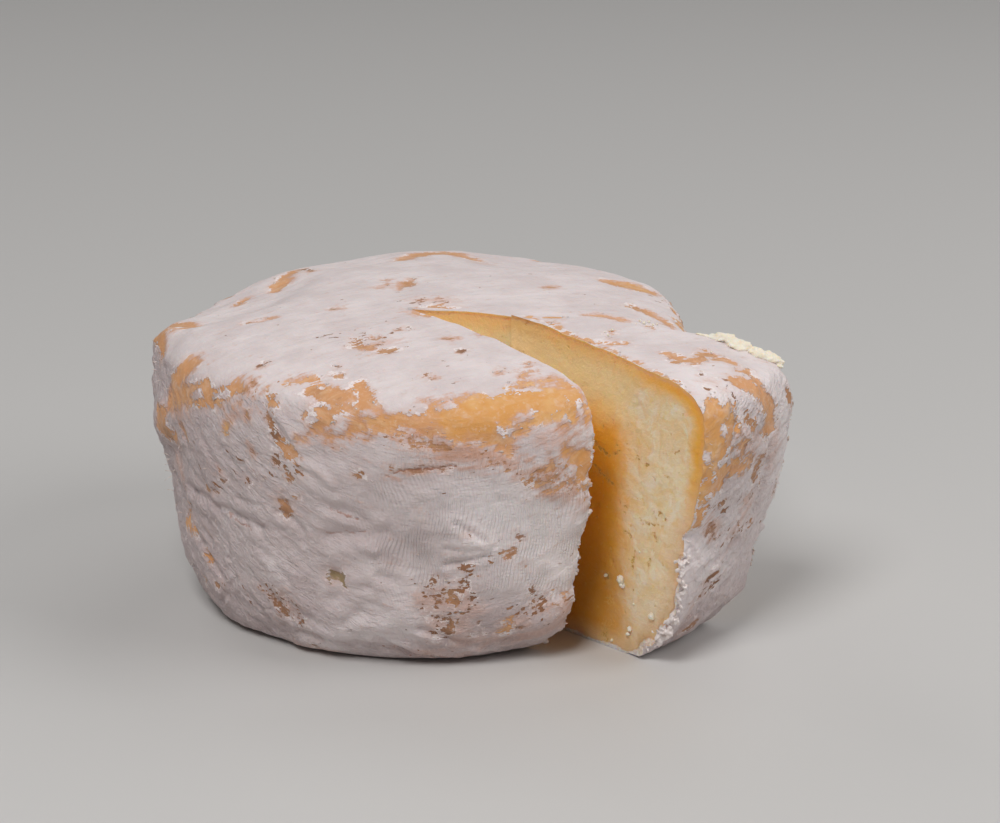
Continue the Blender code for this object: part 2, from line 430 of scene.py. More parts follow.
for pts in (
    ((532, 416, .7), (516, 423, .8), (509, 430, .7)), ((496, 424, .4), (505, 436, .5)), ((539, 388, .5),),
    ((440, 409, .7), (449, 406, 1.0)), ((435, 402, .5), (443, 400, .8)), ((580, 404, .8), (583, 420, .6)),
    ((566, 396, .5), (570, 410, .4)), ((372, 415, .7), (366, 412, .9)), ((574, 470, .8), (573, 480, .8)),
    ((560, 474, .5), (563, 482, .4)), ((172, 368, .8), (181, 362, .6)), ((214, 397, .4), (226, 394, .5)),
    ((194, 398, .9), (200, 396, .6)), ((350, 402, .5), (340, 404, .7)), ((336, 417, .7), (345, 414, .6)),
    ((455, 584, .4), (459, 592, .4)), ((334, 431, .5), (342, 426, .8)), ((522, 416, .6), (516, 421, .5)),
    ((545, 478, .4), (552, 477, .5)), ((287, 609, .4), (291, 604, .4)), ((552, 415, .25), (560, 410, .2)),
    ((585, 440, 1.0), (587, 446, 1.0)), ((590, 452, .5),)):
    white.add(pts, W)

for pts in (
    ((400, 430, 2.5), (430, 440, 3.5), (445, 445, 2.0)), ((440, 455, 2.0), (480, 462, 3.0), (500, 458, 2.0)),
    ((545, 440, 2.5), (565, 432, 2.5)), ((530, 475, 2.5), (560, 495, 2.5), (580, 500, 2.2)),
    ((430, 600, 3.5), (455, 600, 4.0), (475, 610, 2.5)), ((440, 625, 3.5), (460, 622, 3.0)),
    ((540, 602, 2.5), (560, 605, 2.5)), ((250, 412, 1.5), (225, 416, 1.5)), ((282, 596, 2.2), (292, 608, 2.2)),
    ((520, 618, 2.2), (505, 626, 2.0)), ((305, 420, 1.5), (318, 405, 1.5), (312, 395, 1.3)),
    ((172, 460, 2.2), (181, 480, 2.6), (188, 502, 2.4), (192, 525, 2.0)), ((170, 412, 2.0), (190, 412, 1.8)), ((420, 301, 2.5), (455, 300, 2.0)), ((480, 260, 2.0), (500, 262, 1.0)),
    ((365, 345, 2.2), (395, 345, 1.6)), ((540, 375, 1.5), (525, 380, 2.0)), ((590, 470, 1.5), (590, 500, 1.5)),
    ((280, 500, 2.0), (286, 508, 2.0)), ((300, 645, 2.0), (330, 652, 2.0)), ((400, 650, 1.5), (460, 652, 1.8)),
    ((455, 640, 2.2), (500, 638, 2.6), (540, 626, 2.4), (566, 618, 2.0))):
    thin.add(pts, W)

for pts in (
    ((319, 338, 1.0), (345, 335, 2.0), (375, 342, 2.5), (395, 332, 1.5)), ((412, 302, 2.0), (455, 300, 1.5)),
    ((430, 590, 3.0), (465, 600, 3.5), (445, 622, 3.0)), ((275, 600, 2.5), (296, 612, 2.5)),
    ((520, 612, 2.5), (560, 600, 2.5)), ((215, 580, 1.5), (245, 592, 2.0)), ((270, 470, 2.5), (300, 470, 2.0)),
    ((205, 470, 2.0), (222, 492, 2.0)), ((178, 470, 1.8), (188, 495, 2.0)), ((232, 452, 2.0), (250, 470, 2.0)), ((500, 550, 2.0), (470, 570, 2.0)), ((480, 460, 1.5), (510, 470, 2.0)),
    ((530, 470, 2.5), (555, 480, 3.0), (580, 492, 2.0)), ((165, 425, 1.5), (190, 440, 1.5)), ((255, 395, 1.5), (262, 410, 1.5)),
    ((400, 440, 1.5), (440, 446, 1.5)), ((530, 366, 2.0), (520, 385, 2.0)), ((425, 376, 1.5),)):
    speck.add(pts, W)

# the wedge
for pts, tone in (
    (((540, 315, .5), (560, 315.5, .5)), .55),
    (((516, 313, .35), (530, 317, .5), (546, 322, .45), (562, 330, .5), (577, 337, .7)), .6),
    (((577, 337, .6), (590, 341, .5), (603, 342, .7), (626, 343, .5)), .6),
    (((580, 340, .5), (600, 344, .4), (624, 356, .3), (649, 372, .25), (672, 385, .3), (688, 397, .3)), .5),
    (((667, 354.5, .7), (681, 360, 1.2), (694, 361.5, 1.2), (700, 357, 1.3), (708, 352, 1.2), (719, 358.5, 1.2), (731, 361, .9)), .4),
    (((674, 363, .5), (668, 356, .5)), .4),
    (((738, 369, .8), (748, 371.5, 1.2), (756, 379, .9)), .4),
    (((734, 381, 1.2), (748, 384.5, 1.8), (761, 396, 2.2), (770, 409, 2.3), (773, 424, 1.8), (766, 433, 1.2)), .5),
    (((786, 389, .7), (789, 402, .9)), .35),
    (((707, 412, 1.3), (714, 407, 1.5), (719, 417, 2.0), (729, 421, 1.8), (736, 427, 1.2)), .8),
    (((711, 425, 2.0), (713, 440, 2.4), (716, 455, 2.4), (722, 470, 2.4)), .8),
    (((727, 432, 1.2), (729, 446, 1.2)), .55),
    (((733, 404, .8), (736, 410, .5)), .5), (((749, 420, .7), (753, 430, .9)), .4),
    (((735, 442, 1.2), (746, 445, 1.4)), .6), (((743, 452, 1.0), (750, 462, 1.0)), .3),
    (((763, 457, 1.2), (757, 474, 1.5)), .28), (((705, 440, 1.2), (706, 470, 1.4), (704, 490, 1.2)), .9),
    (((708, 484, 1.6), (722, 478, 2.0), (735, 464, 1.6)), .75),
    (((733, 470, .9), (744, 468, .7)), .5),
    (((699, 500, 1.2), (696, 512, 1.2), (693, 522, .9)), .8), (((703, 420, 1.2), (703, 445, 1.4), (701, 470, 1.4), (699, 492, 1.3)), .95),
    (((704, 391, .15), (708, 394, .15)), .2), (((702, 376, .2),), .2), (((722, 380, .25),), .2), (((727, 387, .2),), .2),
    (((713, 395, .15),), .15), (((735, 396, .2),), .2),
    (((719, 503, .5), (723, 502, .4)), .2), (((733, 536, .6), (736, 532, .4)), .2),
    (((743, 527, .4), (749, 520, .5)), .2), (((753, 492, .8), (758, 484, .6)), .25),
    (((716, 570, .6), (708, 582, .9), (699, 596, .7)), .25), (((715, 582, .5), (709, 592, .4)), .2),
    (((711, 528, .8), (715, 540, .4)), .25), (((770, 480, .4), (767, 490, .3)), .2),
    (((693, 622, .5), (686, 628, .4)), .2),
    (((646, 322.5, .3), (652, 325, .3)), .4), (((612, 331, .3), (609, 336, .3)), .5),
):
    bare.add(pts, G, tone)
for pts in (((703, 454, .9), (707, 458, .6)), ((734, 441, .7), (738, 436, .6)), ((732, 456, .6), (718, 461, .7)),
            ((720, 430, .5), (723, 440, .4)), ((741, 375, .6), (750, 378, .5)), ((760, 388, .5), (756, 384, .4)),
            ((749, 395, .6), (755, 402, .5)), ((726, 450, .5), (729, 462, .5))):
    white.add(pts, G)
for pts in (((706, 520, 1.6), (714, 530, 2.2)), ((700, 380, 1.5), (725, 390, 1.5)), ((740, 430, 2.5), (760, 440, 2.2)),
            ((775, 430, 2.0), (770, 460, 2.0)), ((705, 585, 2.2),), ((750, 500, 2.0), (735, 530, 2.0)),
            ((690, 600, 1.5), (675, 640, 1.5))):
    thin.add(pts, G)
for pts in (((704, 378, .4), (735, 395, 1.2)), ((740, 410, 2.5), (760, 420, 2.0)), ((700, 500, 2.0), (730, 510, 2.5)),
            ((709, 583, 2.5),), ((760, 470, 2.0), (750, 500, 2.5)), ((725, 540, 2.0), (750, 520, 1.5))):
    speck.add(pts, G)

# folds, hollows and bumps that the view shows
for pts, depth in (
    (((190, 488, .7), (202, 496, .9), (212, 503, .6)), .55), (((219, 508, .7), (228, 514, .9), (243, 519, .7), (262, 527, .5)), .6),
    (((222, 512, .5), (240, 523, .6)), -.45), (((277, 513, .6), (292, 520, .6), (301, 530, .5), (304, 545, .5)), .4),
    (((193, 525, .6), (203, 545, .7), (212, 562, .6), (222, 578, .5)), .55), (((326, 505, .7), (345, 512, 1.0), (365, 522, .8)), .5),
    (((330, 536, 1.1), (350, 535, 1.3), (385, 533, .8)), .55), (((360, 545, .7), (374, 550, .7)), -.35),
    (((300, 462, .6), (320, 470, .7), (333, 484, .6)), -.45), (((275, 408, .5), (285, 424, .7), (293, 437, .4)), -.45),
    (((386, 474, .35), (408, 470.5, .42), (428, 468.5, .42), (450, 469.5, .35)), .07), (((446, 565, .45), (468, 560, .55), (490, 554, .35)), .45),
    (((455, 523, .4), (470, 532, .5), (486, 541, .4)), .30), (((446, 549, .5), (470, 551, .5), (492, 547, .4)), .25), (((380, 577, .7), (395, 582, .8)), .35),
    (((330, 600, .8), (350, 590, .9), (368, 588, .6)), .4), (((345, 622, .8), (360, 615, .9)), .45),
    (((300, 630, .8), (340, 640, 1.0), (400, 650, .8)), .5), (((380, 640, .6), (410, 653, .7), (450, 656, .6)), .4),
    (((420, 628, .5), (470, 641, .8), (500, 640, .8), (560, 615, .6)), .55), (((470, 646, .5), (500, 648, .5)), -.35),
    (((228, 560, .5), (235, 580, .5), (225, 600, .5)), .35), (((255, 545, .6), (275, 560, .7), (290, 580, .6)), .3),
    (((205, 440, .5), (215, 462, .6), (230, 480, .5)), .3), (((240, 500, .5), (262, 505, .5)), .3),
):
    crease.add(pts, W, depth)
for pts, h in (
    (((448, 527, 1.0), (464, 536, 1.3), (482, 544, .9)), .50), (((418, 532, 2.0), (440, 524, 2.0)), .35),
    (((262, 480, 1.6),), .45), (((258, 506, 1.4), (262, 512, 1.2)), .45), (((325, 482, 2.0),), .5),
    (((272, 566, 1.8), (285, 582, 1.8)), .5), (((372, 548, 1.6),), .35), (((340, 588, 1.6), (356, 584, 1.2)), .5),
    (((348, 626, 1.6), (338, 634, 1.5)), .5), (((385, 618, 2.0), (400, 612, 1.6)), .4), (((336, 579, 1.3),), -1.1),
    (((500, 575, 2.5),), .35), (((372, 611, 1.4),), -.4), (((420, 560, 3.0),), -.3), (((492, 590, 2.2), (500, 600, 2.0)), .35),
    (((250, 590, 2.0),), .3), (((300, 552, 2.6), (310, 570, 2.2)), -.35), (((395, 500, 2.5),), .3), (((400, 454, 1.8),), .45),
    (((340, 450, 2.4),), -.3), (((205, 452, 2.0),), .4), (((175, 452, 1.6),), -.4), (((290, 400, 2.0), (283, 412, 2.0)), .35),
    (((460, 455, 2.0), (480, 450, 1.6)), -.3), (((500, 480, 2.6),), .3), (((265, 630, 2.0),), -.3),
):
    lump.add(pts, W, h)
for pts, depth in (
    (((735, 540, .6), (715, 560, .7), (697, 570, .6)), .35), (((770, 445, .5), (762, 480, .7), (752, 515, .6)), .35),
    (((740, 560, .5), (722, 585, .6), (700, 605, .6)), .35), (((690, 540, .4), (700, 560, .5)), -.3),
    (((712, 600, .7), (690, 620, .7), (670, 636, .6)), .35), (((786, 395, .5), (784, 430, .6)), .3),
):
    crease.add(pts, G, depth)
for pts in (((430, 480, 8), (480, 500, 10), (540, 510, 9)), ((460, 540, 8), (540, 560, 9), (560, 540, 8)),
            ((390, 510, 6), (420, 560, 7)), ((560, 520, 6), (550, 580, 6))):
    comb.add(pts, W)

# whiter bloom on the front, and painted light over shaded spots of the wheel's side
for pts in (((480, 505, 6), (540, 530, 8), (560, 560, 7)), ((520, 566, 3),), ((330, 640, 3), (400, 625, 4)),
            ((455, 530, -3.2), (468, 539, -2.6), (482, 546, -3.2)), ((290, 402, -2.4), (300, 415, -1.2), (306, 430, -2.0)),
            ((262, 545, -2.6), (280, 570, -2.2)), ((352, 588, -3), (372, 596, -2.6))):
    thick_bloom_and_light.add(pts, W)
for pts in (((398, 428, .6), (425, 434, 1.6), (445, 441, 1.0)), ((398, 442, .8), (425, 445, 1.2), (448, 449, .8)),
            ((385, 475, .2), (410, 471, .5), (446, 468, .3)), ((478, 452, .8), (505, 452, 1.6)), ((545, 438, .4), (566, 432, .8)),
            ((560, 600, .8), (572, 603, .8)),
            ((530, 462, .8), (552, 476, 1.8), (576, 490, 1.4)), ((540, 492, .6), (566, 494, .8)), ((505, 463, .6), (520, 470, .8)), ((372, 432, .4), (392, 436, .8)), ((455, 442, .6), (485, 446, 1.0)), ((436, 447, 1.2), (462, 452, 2.0), (492, 455, 2.0), (514, 462, 1.6)), ((420, 458, .4), (446, 460, .8), (470, 466, .8)), ((556, 430, .4), (580, 436, .6)),
            ((276, 600, .2), (292, 610, .2)), ((500, 626, .1), (515, 616, .1)), ((545, 606, .4), (566, 604, .6))):
    rosy.add(pts, W)
for pts in (((709, 520, 1.0), (714, 532, 1.2)), ((740, 446, 1.0), (762, 460, 1.0)), ((706, 585, 1.0),), ((745, 500, 1.0),)):
    rosy.add(pts, G)
# painted light on the wedge's side: brighter bloom where it sits in shade
for pts in (((692, 522, -1.0), (686, 560, .2), (680, 588, .6), (668, 618, .6), (648, 645, .2)),):
    thick_bloom_and_light.add(pts, G)
for pts in (((700, 385, 3), (720, 395, 3)), ((735, 405, 2),), ((770, 382, 2), (782, 412, 3), (776, 465, 3)), ((700, 545, 2), (712, 578, 2))):
    thick_bloom_and_light.add(pts, G)
for pts in (((594, 441, .25), (601, 449, .3), (609, 456, .2), (619, 452, .12)), ((594, 466, .3), (603, 476, .2), (613, 484, .25)),
            ((604, 571, .15), (609, 580, .3), (611, 583, .2)), ((610, 598, .1), (607, 615, .15), (606, 632, .25), (603, 643, .3)),
            ((635, 550, .1), (633, 562, .12), (632, 570, .1)), ((654, 534, .3), (655, 540, .35)), ((660, 513, .25), (665, 520, .2)),
            ((636, 455, .25), (638, 460, .3)), ((647, 465, .4),), ((617, 447, .3), (621, 451, .25)), ((604, 427, .3),), ((680, 450, .15),),
            ((672, 452, .12), (678, 452, .2)), ((641, 520, .12), (650, 524, .1), (662, 526, .12)), ((625, 507, .2),), ((640, 490, .15),),
            ((650, 560, .2), (648, 566, .15)), ((633, 590, .12),), ((668, 477, .2),), ((626, 532, .12), (632, 538, .1))):
    crack.add(pts, G)

for pts in (((626, 647, 1.0), (640, 643, 1.4), (652, 633, 1.0)), ((664, 618, .5), (672, 590, .6), (676, 565, .5)), ((606, 636, 1.0), (612, 610, .6)),
            ((600, 470, 1.0), (608, 478, .8)), ((606, 576, .8), (610, 584, .8))):
    stain.add(pts, G)

# the wheel isn't true: where its outline stands out or falls back (mm), and how far around (mm)
for u, v, mm, wide in (
    (168, 450, -1.5, 3), (155, 433, .8, 2.6), (151, 421, 1.7, 2.6), (152, 411, .7, 2.4), (155, 399, -1.0, 2.6), (157, 388, -2.9, 2.6),
    (155, 376, -1.7, 3), (154, 361, -2.0, 3), (156, 346, -1.2, 2.6), (155, 332, 1.7, 2.4), (162, 325, .8, 2.4), (172, 321, -.8, 3),
    (184, 315, -1.3, 4), (197, 308, -2.3, 4.5), (210, 303, -2.3, 4.5), (224, 299, -3.2, 4.5), (238, 294, -3.0, 4.5),
    (252, 289, -2.6, 4.5), (266, 282, -2.0, 4), (282, 273, -.4, 3.5), (300, 267, .0, 3.5),
    (330, 263, -.6, 4), (355, 260, -.9, 4), (380, 255, .1, 4), (414, 251, .5, 4), (440, 250, .4, 4), (466, 252, .0, 4), (490, 256, -.5, 4),
    (508, 257, -1.1, 4), (522, 260, -1.6, 4), (538, 262, -1.4, 4), (556, 263, -.8, 4), (572, 264, -.3, 4), (590, 267, .0, 4),
    (640, 282, .2, 3.5), (668, 302, -.3, 3), (563, 630, 1.8, 2.6), (554, 636, 1.9, 2.6), (545, 640, .8, 3), (530, 643, -.7, 3),
    (487, 655, .6, 3), (450, 659, .8, 3), (424, 660, .2, 3), (392, 656, -.4, 3), (368, 654, -.9, 3), (345, 653, .1, 3),
    (324, 653, 1.1, 3), (305, 647, .8, 3), (282, 639, -.2, 3), (256, 631, .4, 3), (240, 625, .9, 3), (228, 618, 1.2, 3),
    (217, 606, .9, 3), (205, 589, .3, 3), (195, 578, .8, 3), (190, 565, .8, 3), (183, 548, .4, 3),
    (180, 528, -.1, 3), (178, 512, -.8, 3), (177, 495, -1.5, 3), (174, 483, -1.0, 3), (170, 468, -1.1, 3),
    (590, 418, -.6, 2.4), (596, 430, -1.1, 2.6), (597, 443, -1.5, 2.6), (594, 456, -1.2, 2.6), (591, 470, -.6, 2.2), (590, 483, -.2, 2),
    (587, 497, .5, 2), (584, 509, 1.5, 1.8), (584, 522, 3.5, 1.6), (581, 536, .1, 1.2), (579, 546, -.1, 1.8), (578, 562, .1, 1.8),
    (576, 580, 1.4, 2), (575, 596, 1.4, 2), (572, 608, .5, 2),
):
    swells.append((spot(u, v, W), mm, wide))
for u, v, mm, wide in (
    (758, 352, -1.2, 3), (772, 359, -.9, 3), (783, 374, -.6, 3), (793, 392, .7, 2.6), (795, 400, .8, 2.6), (791, 412, -.3, 2.6),
    (791, 430, .6, 3), (786, 450, .8, 3), (783, 469, 1.3, 3), (779, 486, 1.2, 3), (773, 503, 1.1, 3), (768, 518, .5, 3),
    (760, 531, -.9, 3), (754, 548, -.7, 3), (749, 566, -.6, 3), (744, 581, -.3, 3), (738, 599, .4, 3), (712, 616, -.3, 3),
    (660, 647, .6, 3), (616, 651, 1.5, 3), (603, 645, 1.8, 3),
    (692, 393, .3, 2), (699, 409, 1.3, 2.3), (703, 424, 1.8, 2.4), (702, 442, 1.7, 2.4), (700, 458, 1.7, 2.4), (699, 476, 1.8, 2.3),
    (697, 489, 2.0, 2.0), (694, 503, 1.6, 1.8), (690, 519, 2.1, 1.6), (684, 536, .1, 1.3), (682, 548, .6, 1.8), (679, 560, 1.5, 2),
    (675, 576, 1.7, 2.2), (672, 592, 1.7, 2.2), (669, 606, 2.0, 2), (664, 617, 2.0, 1.8), (655, 630, .8, 1.6),
):
    swells.append((spot(u, v, G), mm, wide))


def broad(P):
    """Height in mm of the broad swells: a smooth blend of the placed heights."""
    num, den = np.zeros(len(P)), np.full(len(P), 0.16)
    for o, mm, wide in swells:
        w = np.exp(-0.5 * ((P - o) ** 2).sum(1) / wide ** 2)
        num += w * mm
        den += w
    return num / den


# the sides that the view doesn't show carry the same kinds of wear
rng = np.random.RandomState(7)


def skin_spot(a, z):
    """A place on the side at plan angle a (from the wheel's middle) and height z."""
    rows = along(SIDE_SECTION, 8)
    below = rows[: RIM_ROW * 8 + 1]
    if z <= below[-1, 1] * HEIGHT:
        share = np.interp(z, below[:, 1] * HEIGHT, below[:, 0])
        r = around(RIM_RADII, a) * (1 - around(SIDE_LEAN, a) * (1 - share))
    else:
        up = rows[RIM_ROW * 8:]
        r = around(RIM_RADII, a) * np.interp(z, up[:, 1] * HEIGHT, up[:, 0])
    return place(np.array((r * math.cos(a), r * math.sin(a), z)), False)


def hidden_side(a):
    """Is this plan angle out of the view's sight?"""
    return math.radians(2) < a < math.radians(172)


for k in range(120):
    a = rng.uniform(math.radians(-6), math.radians(172))
    kind = rng.rand()
    if kind < 0.36:                      # rubbed shoulder
        z = 45 + 7 * rng.rand()
        n = rng.randint(2, 5)
        span = rng.uniform(0.04, 0.20)
        pts = [skin_spot(a + span * (i / (n - 1) - 0.5), min(z + rng.uniform(-2, 2), 53.5)) for i in range(n)]
        bare.add_at(pts, rng.uniform(0.6, 2.6, n), rng.uniform(0.35, 0.9))
        white.add_at([p + rng.normal(0, 1.2, 3) for p in pts[:2]], rng.uniform(0.2, 0.9, 2))
        speck.add_at([p + rng.normal(0, 2.0, 3) for p in pts], rng.uniform(1.5, 3.0, n))
    elif kind < 0.75:                    # torn spots on the side
        z = rng.uniform(6, 44)
        pts = [skin_spot(a, z), skin_spot(a + rng.uniform(-.04, .04), z + rng.uniform(-3, 3))]
        bare.add_at(pts, rng.uniform(0.25, 0.95, 2), rng.uniform(0.05, 0.45))
        speck.add_at(pts, (2.5, 2.5))
        thin.add_at(pts, (2.5, 2.5))
    else:
        z = rng.uniform(8, 44)
        pts = [skin_spot(a + i * .05, z + rng.uniform(-3, 3)) for i in range(3)]
        crease.add_at(pts, (.6, .9, .6), rng.uniform(-.4, .55))
for k in range(26):                      # bumps all round the back
    a = rng.uniform(math.radians(4), math.radians(176))
    lump.add_at([skin_spot(a, rng.uniform(6, 46))], [rng.uniform(1.4, 2.8)], rng.uniform(-.4, .5))


# ------------------------------------------------------------------- meshes --
# the way the bloom's strands run: plan angle in degrees, rise per mm round the side
STRANDS = np.array(((-60, .60), (-9, .20), (40, -.30), (90, .40), (130, -.20), (170, -.75), (200, -.85),
                    (225, -.75), (250, -.35), (275, 0.0), (300, .45), (322, .60), (351, .20)))
_phi = np.radians(np.linspace(-60, 351, 1200))
_rise = np.cumsum(np.interp(np.degrees(_phi), STRANDS[:, 0], STRANDS[:, 1])) * (_phi[1] - _phi[0]) * 50.0


def side_coordinates(raw, wedge):
    """Millimetres round the side and across the strands, from the form's own plan."""
    phi = np.arctan2(raw[..., 1], raw[..., 0])
    if wedge:
        phi = phi + 2 * math.pi
    else:
        start = math.radians(-38)
        phi = np.mod(phi - start, 2 * math.pi) + start
    return phi, phi * 50.0, raw[..., 2] - np.interp(phi, _phi, _rise)


def grid_normals(P):
    du = np.gradient(P, axis=1)
    dv = np.gradient(P, axis=0)
    n = np.cross(du, dv)
    ln = np.linalg.norm(n, axis=-1, keepdims=True)
    return n / np.maximum(ln, 1e-9)


def ridged(q, seed):
    return 1 - np.abs(_noises.setdefault(seed, Noise(seed))(q)) * 2.4


def skin_relief(P, N, phi, arc, cross):
    """Height in mm of the sculpted skin over the plain form."""
    z = P[:, 2]
    top = smooth(.45, .9, N[:, 2])
    side = 1 - top
    deg = np.degrees(phi)
    left = smooth(262, 235, deg) * smooth(120, 160, deg)
    low = smooth(24, 7, z)
    front = smooth(235, 262, deg) * smooth(320, 290, deg)
    h = 0.42 * fbm(P, 24, 2, 1)
    h += side * 0.40 * fbm(P, 9, 2, 2)
    # folds that follow the strands, deep on the wrinkled side, faint on the pressed front
    warp = fbm(P, 11, 2, 5)
    right = smooth(302, 312, deg)
    hidden = smooth(-30, -10, deg) * smooth(170, 150, deg)
    deep = 0.35 + 0.65 * np.maximum(np.maximum(left, 0.8 * low), np.maximum(0.85 * right, 0.85 * hidden))
    deep = deep * (1 - 0.55 * front * (1 - low))
    here = smooth(-.35, .35, fbm(P, 15, 2, 12))
    q = np.column_stack((arc / 14, (cross + warp * 5.0) / 5.4, 0 * z + 1.7))
    h -= side * deep * 0.31 * np.clip(ridged(q, 6), -0.6, 1) * (0.35 + 0.65 * here)
    q = np.column_stack((arc / 6.5, (cross + warp * 4.0) / 2.5, 0 * z + 4.2))
    h -= side * deep * 0.09 * np.clip(ridged(q, 7), -0.6, 1) * (1.1 - here)
    h += side * (0.22 + 0.22 * deep) * fbm(P, 4.2, 3, 13, 0.66)
    h += side * (0.10 + 0.26 * deep) * np.abs(fbm(P, 6.5, 2, 18)) * 1.6
    bent = P + 1.1 * np.stack([fbm(P + k * 31.0, 4.0, 1, 16) for k in range(3)], 1)
    h -= side * 0.33 * deep * np.clip(ridged(bent / 3.6, 14), 0, 1) ** 1.5 * smooth(-.25, .35, fbm(P, 12, 1, 15))
    h -= side * 0.11 * deep * np.clip(ridged(bent / 1.9 + 5.0, 17), 0, 1) ** 1.5
    # rolling lumps just above the foot
    q = np.column_stack((arc / 8.5, (z + 0.25 * (z - cross)) / 4.2, 0 * z + 3.3))
    h += side * low * 0.45 * _noises.setdefault(8, Noise(8))(q)
    # the top is flatter, brushed across
    c, s_ = math.cos(math.radians(25)), math.sin(math.radians(25))
    ta, tb = P[:, 0] * c + P[:, 1] * s_, -P[:, 0] * s_ + P[:, 1] * c
    q = np.column_stack((ta / 15, tb / 4.6, 0 * z))
    h += top * 0.24 * _noises.setdefault(9, Noise(9))(q)
    q = np.column_stack((ta / 6, tb / 1.9, 0 * z + 8))
    h += top * 0.085 * _noises.setdefault(10, Noise(10))(q)
    h += 0.05 * fbm(P, 1.7, 1, 11)
    h -= side * np.average(h, weights=side + 1e-6) + top * np.average(h, weights=top + 1e-6)
    for ix, d, value, wmax in crease.near(P, 3.0):
        t = np.clip((d + wmax) / max(wmax, .1), 0, 6)
        h[ix] -= 1.25 * value * np.exp(-0.5 * (t * 1.15) ** 2) - 0.45 * value * np.exp(-0.5 * ((t - 2.4) * 1.2) ** 2)
    for ix, d, value, wmax in lump.near(P, 5.0):
        t = np.clip((d + wmax) / (wmax * 1.3), 0, 6)
        h[ix] += 1.2 * value * np.exp(-0.5 * t * t)
    return h, np.maximum(deep, 0.40) * side


def grey_shade(P, N, phi):
    """Greyer bloom: random patches, and painted shade that greys the sides against the top, more on the left and low
    down, less on the wedge's side.
    """
    deg = np.degrees(phi)
    d = 0.32 + 0.42 * smooth(258, 200, deg) * smooth(120, 165, deg)
    d = d + (0.10 + 0.52 * smooth(225, 250, deg)) * smooth(24, 6, P[:, 2])
    d = d + 0.95 * smooth(226, 204, deg) * smooth(120, 165, deg) + 0.30 * smooth(20, 4, P[:, 2]) * smooth(300, 315, deg)
    d = d + 0.56 * fbm(P, 18, 2, 41) + 0.50 * fbm(P, 6, 3, 43) - 0.28 * smooth(312, 318, deg)
    return np.clip(d, 0, 1) * (1 - smooth(.35, .8, N[:, 2]))


wedge_now = [False]


def skin_fields(P, N, phi, arc, cross):
    Q = P + 0.95 * np.stack([fbm(P + k * 19.0, 3.4, 3, 42, 0.62) for k in range(3)], 1)
    fb, tone = bare.field(Q, 1.3)
    fw, _ = white.field(Q, 1.0)
    fb = np.minimum(fb, 1.0 - fw)
    ft, _ = thin.field(P, 2.5, 6.0)
    fs, _ = speck.field(P, 2.0, 5.0)
    fc, _ = comb.field(P, 5.0, 8.0)
    fp, _ = thick_bloom_and_light.field(P, 5.0, 9.0)
    fr, _ = rosy.field(Q, 1.8, 4.0)
    return {"bare": fb, "tone": tone, "thin": np.clip(ft, 0, 1), "speck": np.clip(fs, 0, 1),
            "crisp": np.full(len(P), 0.75) if wedge_now[0] else 0.65 * smooth(41, 35, P[:, 2]),
            "comb": np.clip(fc, 0, 1), "thick_bloom_and_light": np.clip(fp, 0, 1), "rosy": np.clip(fr, 0, 1),
            "up": smooth(.45, .9, N[:, 2]), "sa": arc, "sb": cross, "grey_shade": grey_shade(P, N, phi)}


